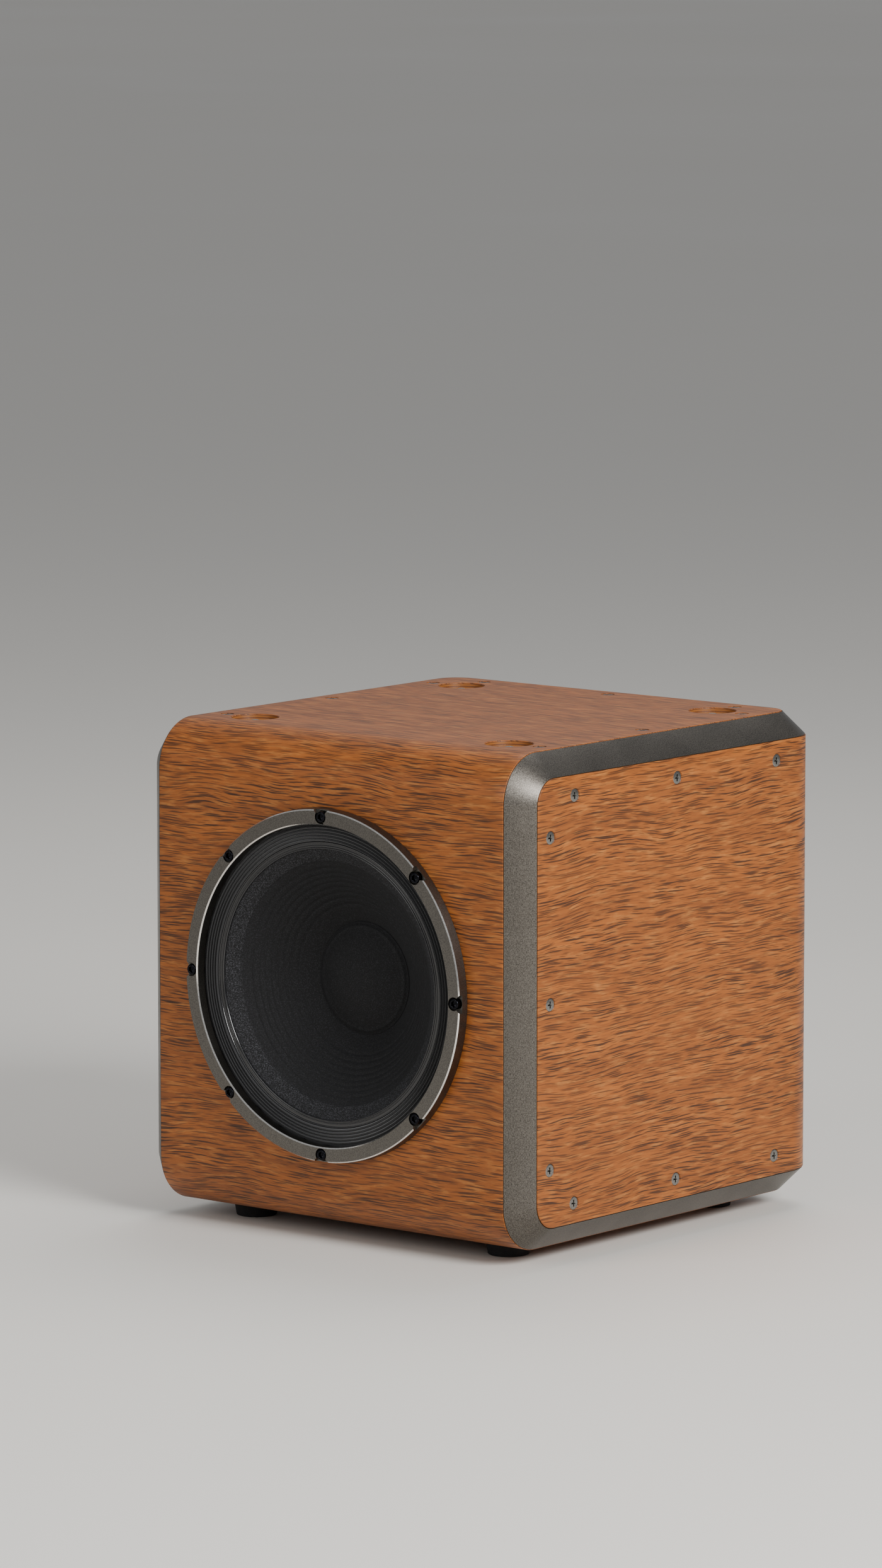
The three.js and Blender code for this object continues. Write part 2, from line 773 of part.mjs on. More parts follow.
function poleYoke() {
  const { radius, thickness, insideFormer, ventRadius } = YOKE;
  const poleRadius = FORMER.radius - FORMER.wall - insideFormer;
  return onDriver(
    [
      [ventRadius, plateStart],
      [poleRadius, plateStart],
      [poleRadius, yokeStart],
      [radius, yokeStart],
      [radius, yokeStart + thickness],
      [ventRadius, yokeStart + thickness],
    ],
    MIDDLE,
  );
}

// ---------------------------------------------------------------- terminal block and leads

const terminalUp = middleUp + TERMINAL.radius + TERMINAL.height / 2;
const terminalBack = BASKET.depth - TERMINAL.inset;

const terminalBlock = () =>
  box(
    -TERMINAL.width / 2,
    terminalBack - TERMINAL.depth,
    terminalUp - TERMINAL.height / 2,
    TERMINAL.width / 2,
    terminalBack,
    terminalUp + TERMINAL.height / 2,
  );

const coverFront = rearFace - AMP.plate - SEAT_GAP - AMP.coverDepth;

function lead(side) {
  const x = (side * TERMINAL.leadSpacing) / 2;
  const from = terminalBack + SEAT_GAP;
  const run = coverFront - SEAT_GAP - from;
  const place = ([share, apart, drop]) => new THREE.Vector3(x * apart, from + share * run, terminalUp - drop);
  const path = new THREE.CatmullRomCurve3(LEAD.route.map(place));
  const quarters = [0, 1, 2, 3].map((turn) => (turn * Math.PI) / 2);
  const circle = quarters.flatMap((start) => cornerPoints(0, 0, LEAD.radius, start, 2).slice(1));
  const options = { steps: LEAD.steps, extrudePath: path, bevelEnabled: false };
  return solid(new THREE.ExtrudeGeometry(outlineOf(circle), options));
}

// ---------------------------------------------------------------- brace

// A window brace across the box: it meets the shells between the flanges and stays clear of the strips.
function windowBrace() {
  const [y0, y1] = [BRACE.behindFront, BRACE.behindFront + BRACE.thickness];
  const pastFlange = flangeReach + SEAT_GAP;
  const pastStrip = shankEnd + SEAT_GAP;
  const reach = (inX, inZ) =>
    box(inX - halfWidth, y0, inZ, halfWidth - inX, y1, CABINET.height - inZ);
  const body = join(
    reach(pastStrip, pastStrip),
    reach(flangeStart, pastFlange),
    reach(pastFlange, flangeStart),
  );
  const width = CABINET.width - 2 * (CABINET.wall + BRACE.border);
  const height = CABINET.height - 2 * (CABINET.wall + BRACE.border);
  const window = roundedRectangle(width, height, BRACE.windowRadius, 0, middleUp, CORNER_SEGMENTS);
  return cut(body, pushedBack(window, y0 - 1, y1 + 1));
}

// ---------------------------------------------------------------- amplifier

const plateFront = rearFace - AMP.plate;
const gasketFront = plateFront - SEAT_GAP - AMP.gasket;
const opening = { width: AMP.width - 2 * AMP.land, height: AMP.height - 2 * AMP.land };

const AMP_CORNER_SEGMENTS = 3;

// A rectangle at [right, up] of the amplifier plate's middle, pushed from y0 to y1.
function ampBlock(width, height, y0, y1, right = 0, up = 0, radius = 0) {
  const z = middleUp + up;
  return pushedBack(roundedRectangle(width, height, radius, right, z, AMP_CORNER_SEGMENTS), y0, y1);
}

const ampTurned = (profile, segments, right, up) => turnedRound(profile, segments, right, middleUp + up);

function ampClearance() {
  const width = AMP.width + 2 * SEAT_GAP;
  const height = AMP.height + 2 * SEAT_GAP;
  return join(
    ampBlock(width, height, gasketFront - SEAT_GAP, rearFace + 1, 0, 0, AMP.cornerRadius),
    ampBlock(opening.width, opening.height, rearInside - 1, rearFace, 0, 0, AMP.openingRadius),
  );
}

const potPlaces = [GAIN_AT, CROSSOVER_AT];
const bushBore = KNOB.shaftRadius + POT.aroundSpindle;
const bushRadius = bushBore + POT.bushWall;

function ampPlate() {
  const from = plateFront - 1;
  const to = rearFace + 1;
  const bushHole = rodProfile(bushRadius + SEAT_GAP, from, to);
  const barrelHole = rodProfile(XLR.barrelRadius + SEAT_GAP, from, to);
  const [inletWidth, inletHeight] = INLET.cavity.map((size) => size + INLET.around);
  return cut(
    ampBlock(AMP.width, AMP.height, plateFront, rearFace, 0, 0, AMP.cornerRadius),
    ...potPlaces.map((at) => ampTurned(bushHole, SMALL, at, CONTROL_ROW)),
    ampBlock(PHASE.window, PHASE.window, from, to, PHASE.at, CONTROL_ROW),
    ampBlock(POWER.width + 2 * SEAT_GAP, POWER.height + 2 * SEAT_GAP, from, to, POWER.at, POWER.up),
    ampBlock(inletWidth, inletHeight, from, to, INLET.at, INPUT_ROW),
    ...XLR.at.map((at) => ampTurned(barrelHole, MIDDLE, at, INPUT_ROW)),
  );
}

const ampGasket = () =>
  cut(
    ampBlock(AMP.width - 1, AMP.height - 1, gasketFront, plateFront - SEAT_GAP, 0, 0, AMP.cornerRadius),
    ampBlock(opening.width + 1, opening.height + 1, gasketFront - 1, plateFront),
  );

function heatsink() {
  const { width, height, base, proud, fins, fin, up } = HEATSINK;
  const from = rearFace + SEAT_GAP;
  const pitch = (width - fin) / (fins - 1);
  const blades = Array.from({ length: fins }, (_, i) =>
    ampBlock(fin, height, from + base - 1, rearFace + proud, -width / 2 + fin / 2 + i * pitch, up),
  );
  return join(ampBlock(width, height, from, from + base, 0, up), ...blades);
}

function ampCover() {
  const width = opening.width - 2 * COVER_CLEARANCE;
  const height = opening.height - 2 * COVER_CLEARANCE;
  const wall = AMP.coverWall;
  const outer = ampBlock(width, height, coverFront, plateFront - SEAT_GAP);
  return cut(outer, ampBlock(width - 2 * wall, height - 2 * wall, coverFront + wall, plateFront + 1));
}

const boardFront = plateFront - BOARD.behindPlate;
const ampBoard = () => ampBlock(BOARD.width, BOARD.height, boardFront, boardFront + BOARD.thickness);

function transformer() {
  const { radius, hole, height, up } = TRANSFORMER;
  const to = boardFront - SEAT_GAP;
  const round = 4;
  return ampTurned(
    [
      [hole, to - height],
      [radius - round, to - height],
      [radius, to - height + round],
      [radius, to],
      [hole, to],
    ],
    MIDDLE,
    0,
    up,
  );
}

// A pot: its case behind the plate, and its bush through it. The knob's own spindle turns in the bush.
function pot(at) {
  const { radius, depth, floor } = POT;
  const back = plateFront - SEAT_GAP;
  return ampTurned(
    [
      [0, back - depth],
      [radius, back - depth],
      [radius, back],
      [bushRadius, back],
      [bushRadius, rearFace],
      [bushBore, rearFace],
      [bushBore, back - depth + floor],
      [0, back - depth + floor],
    ],
    SMALL,
    at,
    CONTROL_ROW,
  );
}

function knob(at) {
  const { radius, tipRadius, length, shaftRadius, shaftLength, markWidth, markDepth } = KNOB;
  const from = rearFace + RUN_GAP;
  const body = ampTurned(
    [
      [0, from - shaftLength],
      [shaftRadius, from - shaftLength],
      [shaftRadius, from],
      [radius, from],
      [tipRadius, from + length],
      [0, from + length],
    ],
    MIDDLE,
    at,
    CONTROL_ROW,
  );
  const tip = from + length;
  const markUp = CONTROL_ROW + tipRadius / 2 + 1;
  return cut(body, ampBlock(markWidth, tipRadius, tip - markDepth, tip + 1, at, markUp));
}

const phasePivot = plateFront - PHASE.pivotDepth;

function phaseSwitch() {
  const { at, width, height, depth, pivotDepth } = PHASE;
  const back = plateFront - SEAT_GAP;
  const slot = ampBlock(...PHASE.slot, phasePivot - pivotDepth, back + 1, at, CONTROL_ROW);
  return cut(ampBlock(width, height, back - depth, back, at, CONTROL_ROW), slot);
}

// The lever rests at the low end of its throw.
function phaseLever() {
  const { at, leverRadius, leverLength, throw: swing } = PHASE;
  const lever = turned(
    [
      [0, -leverRadius],
      [leverRadius, -leverRadius],
      [leverRadius, 0],
      [leverRadius * 0.8, leverLength - 4],
      [leverRadius * 1.3, leverLength - 1],
      [leverRadius, leverLength],
      [0, leverLength],
    ],
    SMALL,
  );
  lever.rotateX(THREE.MathUtils.degToRad(-swing));
  return solid(lever.translate(at, phasePivot, middleUp + CONTROL_ROW));
}

const rockerPivot = rearFace - POWER.pivotDepth;

function powerSwitch() {
  const { at, up, width, height, depth, rim, bezelReach, wellDepth } = POWER;
  const from = rearFace + SEAT_GAP;
  const bezel = ampBlock(width + 2 * bezelReach, height + 2 * bezelReach, from, from + POWER.bezel, at, up);
  const body = ampBlock(width, height, plateFront - depth, rearFace + 1, at, up);
  const well = ampBlock(width - 2 * rim, height - 2 * rim, rockerPivot - wellDepth, rearFace + 3, at, up);
  return cut(join(body, bezel), well);
}

// The rocker is a shallow V across its pivot, and rests with its low side pressed in.
function powerRocker() {
  const { at, up, width, height, rim, throw: swing } = POWER;
  const half = height / 2 - rim - RUN_GAP;
  const across = width - 2 * (rim + RUN_GAP);
  const outline = new THREE.Shape();
  const lift = half * Math.tan(THREE.MathUtils.degToRad(swing));
  const { below, rise, footInset, tipInset } = ROCKER;
  outline.moveTo(footInset - half, -below);
  outline.lineTo(half - footInset, -below);
  outline.lineTo(half - tipInset, rise + lift);
  outline.lineTo(0, rise);
  outline.lineTo(tipInset - half, rise + lift);
  const geometry = new THREE.ExtrudeGeometry(outline, { depth: across, bevelEnabled: false });
  geometry.translate(0, 0, -across / 2);
  // Outline x becomes up, outline y becomes back, and the push becomes left to right.
  geometry.applyMatrix4(new THREE.Matrix4().set(0, 0, 1, 0, 0, 1, 0, 0, -1, 0, 0, 0, 0, 0, 0, 1));
  geometry.rotateX(THREE.MathUtils.degToRad(-swing));
  return solid(geometry.translate(at, rockerPivot, middleUp + up));
}

function mainsInlet() {
  const { at, flange, flangeRadius, rim, cavity, cavityRadius, wall, depth, body, blade, bladesAt } = INLET;
  const [width, height] = cavity;
  const from = rearFace + SEAT_GAP;
  const floor = from + rim - depth;
  const shell = join(
    ampBlock(...flange, from, from + rim, at, INPUT_ROW, flangeRadius),
    ampBlock(width + 2 * wall, height + 2 * wall, from - body, from + rim, at, INPUT_ROW),
  );
  const mouth = ampBlock(width, height, floor, from + rim + 1, at, INPUT_ROW, cavityRadius);
  const blades = bladesAt.map(([x, up]) =>
    ampBlock(blade[0], blade[2], floor - 1, floor + blade[1], at + x, INPUT_ROW + up),
  );
  return join(cut(shell, mouth), ...blades);
}

function xlrInput(at) {
  const { flange, flangeRadius, rim, barrelRadius, depth, faceRadius, pinDepth, pinHole, pinsAt } = XLR;
  const from = rearFace + SEAT_GAP;
  const grooveInner = faceRadius - XLR.groove;
  const shell = join(
    ampBlock(...flange, from, from + rim, at, INPUT_ROW, flangeRadius),
    ampTurned(rodProfile(barrelRadius, from - depth, from + rim), MIDDLE, at, INPUT_ROW),
  );
  const groove = ampTurned(
    [
      [grooveInner, from - pinDepth],
      [faceRadius, from - pinDepth],
      [faceRadius, from + rim + 1],
      [grooveInner, from + rim + 1],
    ],
    MIDDLE,
    at,
    INPUT_ROW,
  );
  const holes = pinsAt.map(([x, up]) =>
    ampTurned(rodProfile(pinHole, from - pinDepth, from + rim + 1), TINY, at + x, INPUT_ROW + up),
  );
  return cut(shell, groove, ...holes);
}

// ---------------------------------------------------------------- shells and frame

const outside = bevelledCabinet();
const wingClearances = Object.values(WINGS).map(screwClearance);

function frontWrap() {
  const skin = insideFrontOutline(0).subtract(insideFrontOutline(CABINET.wall));
  const shell = skin.intersect(insideRearOutline(bevelLeg));
  return cut(shell, driverClearance(), ...wingClearances, ...footPlaces.map(footAndCupClearance));
}

function rearWrap() {
  const skin = insideRearOutline(0).subtract(insideRearOutline(CABINET.wall));
  const shell = skin.intersect(insideFrontOutline(bevelLeg));
  return cut(shell, ampClearance(), ...wingClearances);
}

// In section: a three-sided nose that fills the bevel between the shells' edges, and a flange behind each.
function bevelFrame() {
  const shellEdge = bevelLeg - SEAT_GAP;
  const nose = cut(outside, insideFrontOutline(shellEdge), insideRearOutline(shellEdge));
  const layer = (inside, from, to) => cut(inside(from), inside(to));
  const frontFlange = layer(insideFrontOutline, flangeStart, flangeEnd);
  const rearFlange = layer(insideRearOutline, flangeStart, flangeEnd);
  const flanges = join(
    frontFlange.intersect(layer(insideRearOutline, flangeStart, flangeReach)),
    rearFlange.intersect(layer(insideFrontOutline, flangeStart, flangeReach)),
  );
  const behindBaffle = onDriver(rodProfile(DRIVER.cutoutRadius, 0, BASKET.depth), LARGE);
  return cut(join(nose, flanges), behindBaffle, ...wingClearances);
}

// ---------------------------------------------------------------- the assembly

const subwoofer = new THREE.Group();

function add(name, piece, material) {
  const mesh = new THREE.Mesh(geometryOf(piece), material);
  mesh.name = name;
  subwoofer.add(mesh);
}

add("front_wrap", frontWrap(), VENEER);
add("rear_wrap", rearWrap(), VENEER);
add("bevel_frame", bevelFrame(), BEVEL_METAL);
add("window_brace", windowBrace(), PLYWOOD);

for (const [side, sign] of [["right", 1], ["left", -1]])
  add(`shell_screws_${side}`, wingScrews(WINGS[side], sideStrip(sign)), STEEL);
for (const [side, sign] of [["top", 1], ["bottom", -1]])
  add(`shell_screws_${side}`, wingScrews(WINGS[side], levelStrip(sign)), STEEL);

for (const { name, x, y } of footPlaces) {
  const at = { x, y, z: 0 };
  add(`foot_${name}`, aimed(foot(), SMALL, at, UP), RUBBER);
  add(`foot_screw_${name}`, aimed(footScrew(), SMALL, at, UP), STEEL);
  add(`cup_stud_${name}`, aimed(stud(), SMALL, at, UP), STEEL);
}

add("trim_ring", trimRing(), CAST_METAL);
boltAngles.forEach((angle, i) => add(`driver_bolt_${i + 1}`, driverBolt(angle), BLACK_STEEL));
add("driver_gasket", driverGasket(), FOAM);
add("basket", basket(), CAST_METAL);
add("surround", surround(), PLEATED_CLOTH);
add("cone", cone(), PAPER);
add("dust_cap", dustCap(), PAPER);
add("coil_former", coilFormer(), PAPER);
add("voice_coil", voiceCoil(), COPPER);
add("spider", spider(), PLEATED_CLOTH);
add("top_plate", plateRing(MOTOR.plateRadius, bore, plateStart, MOTOR.plateThickness), BLACK_STEEL);
add("magnet", plateRing(MOTOR.magnetRadius, bore + 5, magnetStart, MOTOR.magnetThickness), FERRITE);
add("pole_yoke", poleYoke(), BLACK_STEEL);
add("terminal_block", terminalBlock(), BLACK_PLASTIC);
add("lead_positive", lead(1), RUBBER);
add("lead_negative", lead(-1), RUBBER);

add("amp_plate", ampPlate(), BLACK_PLATE);
add("amp_gasket", ampGasket(), FOAM);
add("heatsink", heatsink(), BLACK_PLATE);
add("amp_cover", ampCover(), STEEL);
add("amp_board", ampBoard(), GREEN_BOARD);
add("transformer", transformer(), COPPER);
add("gain_pot", pot(GAIN_AT), STEEL);
add("crossover_pot", pot(CROSSOVER_AT), STEEL);
add("gain_knob", knob(GAIN_AT), BLACK_PLASTIC);
add("crossover_knob", knob(CROSSOVER_AT), BLACK_PLASTIC);
add("phase_switch", phaseSwitch(), BLACK_PLASTIC);
add("phase_lever", phaseLever(), STEEL);
add("power_switch", powerSwitch(), BLACK_PLASTIC);
add("power_rocker", powerRocker(), BLACK_PLASTIC);
add("mains_inlet", mainsInlet(), BLACK_PLASTIC);
add("input_left", xlrInput(XLR.at[0]), BLACK_PLASTIC);
add("input_right", xlrInput(XLR.at[1]), BLACK_PLASTIC);

// The heatsink's fins reach as far past the rear as they are proud, and the bolts past the front.
subwoofer.position.set(0, -(rearFace + HEATSINK.proud - BOLT.proud) / 2, FOOT.height);

export default subwoofer;
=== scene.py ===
import math

import bpy
import numpy as np
from bpy.props import FloatProperty, FloatVectorProperty, IntProperty, PointerProperty
from mathutils import Matrix, Vector


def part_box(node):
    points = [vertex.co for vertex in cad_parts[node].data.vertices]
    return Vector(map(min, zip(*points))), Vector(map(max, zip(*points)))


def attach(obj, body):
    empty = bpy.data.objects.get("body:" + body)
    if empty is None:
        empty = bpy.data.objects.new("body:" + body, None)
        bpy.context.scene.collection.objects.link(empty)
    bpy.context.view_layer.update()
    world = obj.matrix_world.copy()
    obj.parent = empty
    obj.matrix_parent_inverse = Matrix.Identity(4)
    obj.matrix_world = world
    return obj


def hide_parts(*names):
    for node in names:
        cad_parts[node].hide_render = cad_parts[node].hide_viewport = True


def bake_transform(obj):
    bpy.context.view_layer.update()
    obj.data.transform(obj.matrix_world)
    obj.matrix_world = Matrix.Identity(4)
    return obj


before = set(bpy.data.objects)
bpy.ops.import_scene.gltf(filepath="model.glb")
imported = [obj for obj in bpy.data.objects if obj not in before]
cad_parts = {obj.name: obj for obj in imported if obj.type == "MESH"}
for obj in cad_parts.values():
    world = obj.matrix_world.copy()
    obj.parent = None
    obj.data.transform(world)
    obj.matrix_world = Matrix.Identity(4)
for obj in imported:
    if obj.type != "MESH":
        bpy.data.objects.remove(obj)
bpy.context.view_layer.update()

bl_info = {
    "name": "Subwoofer Cabinet",
    "version": (1, 0, 0),
    "blender": (4, 5, 0),
    "location": "View3D > Sidebar > Subwoofer",
    "description": "Outer pieces and finishes of a cube-shaped subwoofer: shells, seam frame and driver",
    "category": "Add Mesh",
}

# ------------------------------------------------------------------ places, from the frame, in metres

MM = 0.001


def side(node, axis, high=True):
    """The lowest or highest place of a CAD node along an axis."""
    return getattr(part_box(node)[1 if high else 0], axis)


def middle(node, axis):
    """The place halfway across a CAD node along an axis."""
    return (side(node, axis, False) + side(node, axis)) / 2


FRONT = side("front_wrap", "y", False)
REAR = side("rear_wrap", "y")
HALF_WIDTH = side("rear_wrap", "x")
HALF_DEPTH = (REAR - FRONT) / 2
BOTTOM = side("front_wrap", "z", False)
TOP = side("front_wrap", "z")
MIDDLE_UP = (BOTTOM + TOP) / 2
HALF_HEIGHT = (TOP - BOTTOM) / 2
BEVEL_LEG = HALF_WIDTH - side("front_wrap", "x")
RING_RADIUS = side("trim_ring", "x")
RING_FACE = FRONT - side("trim_ring", "y", False)
BOLT_CIRCLE = middle("driver_bolt_1", "x")
BOLT_HEAD_RADIUS = side("driver_bolt_1", "x") - BOLT_CIRCLE
BOLT_PROUD = FRONT - side("driver_bolt_1", "y", False)
FEET = ("front_left", "front_right", "rear_left", "rear_right")

# Which way a piece's own X, Y and Z point when it is put on a side of the cabinet: its Z points out.
FACING = {
    "front": ((1, 0, 0), (0, 0, 1), (0, -1, 0)),
    "rear": ((1, 0, 0), (0, 0, 1), (0, 1, 0)),
    "top": ((1, 0, 0), (0, 1, 0), (0, 0, 1)),
    "bottom": ((1, 0, 0), (0, 1, 0), (0, 0, -1)),
    "right": ((0, 1, 0), (0, 0, 1), (1, 0, 0)),
    "left": ((0, 1, 0), (0, 0, 1), (-1, 0, 0)),
}


def colour(code):
    """An sRGB hex colour as linear RGBA."""
    channels = np.array([int(code[i : i + 2], 16) for i in (1, 3, 5)]) / 255
    linear = np.where(channels <= 0.04045, channels / 12.92, ((channels + 0.055) / 1.055) ** 2.4)
    return (*linear.tolist(), 1.0)


# ------------------------------------------------------------------ settings


def length(name, default, description):
    """A settable length, in metres."""
    return FloatProperty(name=name, default=default, description=description, unit="LENGTH", precision=5)


def shade(name, code, description):
    """A settable colour."""
    return FloatVectorProperty(
        name=name, default=colour(code), description=description, subtype="COLOR", size=4, min=0, max=1
    )


class CabinetSizes(bpy.types.PropertyGroup):
    corner_radius: length("Corner radius", 44 * MM, "Outer radius of the shells' bends")
    wall: length("Wall", 18 * MM, "Thickness of the bent plywood")
    joint: length("Joint", 0.55 * MM, "Open line between the wood and the metal frame")
    edge: length("Edge", 0.5 * MM, "Rounding of the wood's edges")
    screw_inset: length("Screw inset", 17.5 * MM, "From the wood's edge to the screws")
    cup_radius: length("Cup radius", 21.1 * MM, "Radius of the stacking cups")
    cup_depth: length("Cup depth", 4.5 * MM, "Depth of the stacking cups")
    stud_sunk: length("Stud sunk", 0.6 * MM, "How far the stud's dome is let into the cup's floor")


class DriverSizes(bpy.types.PropertyGroup):
    inner_radius: length("Ring inside", 142 * MM, "Inner radius of the trim ring")
    chamfer: length("Chamfer", 1.0 * MM, "Polished chamfer along the trim ring's edges")
    notch_depth: length("Notch depth", 4 * MM, "Depth of the ring's wedge notches")
    notch_reach: length("Notch reach", 8.9 * MM, "Half the width of a notch at the rim")
    bore_radius: length("Bolt seat", 6 * MM, "Radius of the seats of the driver's bolts")
    pleats: IntProperty(name="Pleats", default=5, min=2, max=9, description="Folds of the cloth surround")
    pleat_rise: length("Pleat rise", 2.1 * MM, "Height of the folds")
    sectors: IntProperty(name="Sectors", default=24, min=12, max=48, description="Gores of the surround")


class FinishColours(bpy.types.PropertyGroup):
    veneer_light: shade("Light veneer", "#A45C1E", "The veneer's light figure")
    veneer_dark: shade("Dark veneer", "#7E4416", "The veneer's dark figure")
    veneer_fleck: shade("Pale flecks", "#C0803F", "The veneer's pale flecks")
    veneer_pore: shade("Pores", "#2A1404", "The veneer's open pores")


def sizes():
    """The cabinet's settings."""
    return bpy.context.scene.subwoofer_cabinet


def driver():
    """The driver's settings."""
    return bpy.context.scene.subwoofer_driver


def tints():
    """The colour settings."""
    return bpy.context.scene.subwoofer_colours


# ------------------------------------------------------------------ shapes as arrays
# A shape is (points, faces): an array of points, and a list of arrays of faces with equal corner counts.


def outward(shape):
    """The closed shape with its faces pointing out: all are turned round if it encloses a negative volume."""
    points, faces = shape
    volume = 0.0
    for group in faces:
        for corner in range(1, group.shape[1] - 1):
            a, b, c = (points[group[:, i]] for i in (0, corner, corner + 1))
            volume += np.einsum("ij,ij->", a, np.cross(b, c))
    return shape if volume > 0 else (points, [group[:, ::-1] for group in faces])


def placed(shape, at, facing="top"):
    """The shape turned to a side of the cabinet and moved to a point."""
    points, faces = shape
    return outward((points @ np.array(FACING[facing], float) + np.array(at, float), faces))


def together(shapes):
    """Several shapes as one, each body kept as it is."""
    points, faces, start = [], [], 0
    for own_points, own_faces in shapes:
        points.append(own_points)
        faces.extend(group + start for group in own_faces)
        start += len(own_points)
    return np.concatenate(points), faces


def lattice(rows, columns, join_rows=False, join_columns=False):
    """Quads over a grid of points that is numbered row by row; either direction may join up with itself."""
    down = np.arange(rows if join_rows else rows - 1)
    across = np.arange(columns if join_columns else columns - 1)
    row, column = np.meshgrid(down, across, indexing="ij")
    next_row, next_column = (row + 1) % rows, (column + 1) % columns
    corners = [row * columns + column, row * columns + next_column]
    corners += [next_row * columns + next_column, next_row * columns + column]
    return np.stack([c.ravel() for c in corners], axis=1)


def rings(radii, heights, segments=96, angles=None, joined=False):
    """A turned solid about Z: row i is a ring of radius radii[i] at heights[i]; a radius may vary round the
    ring. The rows join up into a loop, or each end is closed by one face."""
    angles = np.linspace(0, 2 * np.pi, segments, endpoint=False) if angles is None else angles
    radii = np.stack([np.broadcast_to(r, angles.shape) for r in radii])
    heights = np.broadcast_to(np.array(heights, float)[:, None], radii.shape)
    points = np.stack([radii * np.cos(angles), radii * np.sin(angles), heights], axis=2)
    return tube(points, joined)


def tube(points, joined=False):
    """A closed solid from rows of points that each run round it."""
    rows, columns = points.shape[:2]
    faces = [lattice(rows, columns, joined, True)]
    if not joined:
        first = np.arange(columns)
        faces += [first[None, ::-1], first[None] + (rows - 1) * columns]
    return outward((points.reshape(-1, 3), faces))


def softened(corners, cut, steps=4, loop=False):
    """A polyline whose corners become parabolas that leave it at most `cut` before each corner."""
    corners = np.array(corners, float)
    before, after = np.roll(corners, 1, axis=0), np.roll(corners, -1, axis=0)
    t = np.linspace(0, 1, steps + 1)[:, None]
    line = []
    for i, corner in enumerate(corners):
        if not loop and i in (0, len(corners) - 1):
            line.append(corner[None])
            continue
        back, ahead = before[i] - corner, after[i] - corner
        reach = min(cut, 0.45 * np.linalg.norm(back), 0.45 * np.linalg.norm(ahead))
        start = corner + reach * back / np.linalg.norm(back)
        end = corner + reach * ahead / np.linalg.norm(ahead)
        line.append((1 - t) ** 2 * start + 2 * t * (1 - t) * corner + t**2 * end)
    return np.concatenate(line)


def lathe(corners, cut=0.4 * MM, segments=96, joined=False, steps=4):
    """A turned solid from (radius, height) corners, each softened."""
    line = softened(corners, cut, steps, joined)
    return rings(line[:, 0], line[:, 1], segments, joined=joined)


def rounded_rectangle(width, height, radius, inset=0.0, steps=8):
    """Points round a rectangle with quarter-circle corners, moved in by `inset`."""
    radius = max(radius, inset + 0.05 * MM)
    quarter = np.linspace(0, np.pi / 2, steps + 1)
    angles = (np.arange(4)[:, None] * np.pi / 2 + quarter).ravel()
    sign = np.repeat([(1, 1), (-1, 1), (-1, -1), (1, -1)], steps + 1, axis=0)
    centre = np.array([width / 2 - radius, height / 2 - radius])
    return sign * centre + (radius - inset) * np.stack([np.cos(angles), np.sin(angles)], axis=1)


def slab(width, height, radius, low, high, edge=0.3 * MM, steps=8):
    """A flat plate with rounded corners between two heights, its upper and lower edges chamfered by
    `edge`."""
    rows = []
    for inset, level in ((edge, low), (0, low + edge), (0, high - edge), (edge, high)):
        outline = rounded_rectangle(width, height, radius, inset, steps)
        rows.append(np.column_stack([outline, np.full(len(outline), level)]))
    return tube(np.stack(rows))


def shifted(shape, x=0.0, y=0.0, z=0.0):
    """The shape moved along its own axes."""
    return shape[0] + np.array([x, y, z]), shape[1]


# ------------------------------------------------------------------ objects


def new_mesh(name, shape):
    """A Blender mesh from a shape."""
    points, faces = shape
    mesh = bpy.data.meshes.new(name)
    mesh.from_pydata(points.tolist(), [], [face for group in faces for face in group.tolist()])
    return mesh


def bored(piece, tools, slot_number=0):
    """Cuts the closed tools out of the piece for good. The cut faces take the material of that slot
    number."""
    mesh = new_mesh("tool", together(tools))
    mesh.polygons.foreach_set("material_index", np.full(len(mesh.polygons), slot_number))
    for material in piece.data.materials:
        mesh.materials.append(material)
    tool = bpy.data.objects.new("tool", mesh)
    bpy.context.scene.collection.objects.link(tool)
    modifier = piece.modifiers.new("bore", "BOOLEAN")
    modifier.operation, modifier.solver, modifier.object = "DIFFERENCE", "EXACT", tool
    applied(piece)
    bpy.data.objects.remove(tool)


def applied(piece):
    """Gives the piece the mesh that its modifiers make, and takes them off."""
    evaluated = piece.evaluated_get(bpy.context.evaluated_depsgraph_get())
    mesh = bpy.data.meshes.new_from_object(evaluated)
    piece.modifiers.clear()
    piece.data = mesh


def linked(name, parts):
    """An object made of (shape, finish name) parts, one material slot for each finish."""
    names = list(dict.fromkeys(finish for _, finish in parts))
    mesh = new_mesh(name, together([outward(shape) for shape, _ in parts]))
    for finish in names:
        mesh.materials.append(finished(finish))
    counts = [sum(len(group) for group in shape[1]) for shape, _ in parts]
    numbers = np.repeat([names.index(finish) for _, finish in parts], counts)
    mesh.polygons.foreach_set("material_index", numbers)
    piece = bpy.data.objects.new(name, mesh)
    bpy.context.scene.collection.objects.link(piece)
    return piece


def settle(piece, body, nodes=(), angle=32):
    """Smooths the piece up to an edge angle, puts it on its body, and hides the CAD nodes it stands for."""
    mesh = piece.data
    mesh.polygons.foreach_set("use_smooth", np.ones(len(mesh.polygons), bool))
    mesh.set_sharp_from_angle(angle=math.radians(angle))
    mesh.update()
    if body:
        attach(piece, body)
    if nodes:
        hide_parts(*nodes)
    return piece


def positions(mesh):
    """The mesh's points as an array."""
    points = np.empty(len(mesh.vertices) * 3, np.float32)
    mesh.vertices.foreach_get("co", points)
    return points.reshape(-1, 3).astype(float)


def add_vectors(mesh, name, vectors):
    """Stores a vector at each point, for a material to read."""
    layer = mesh.attributes.new(name, "FLOAT_VECTOR", "POINT")
    layer.data.foreach_set("vector", np.asarray(vectors, np.float32).ravel())


# ------------------------------------------------------------------ finishes


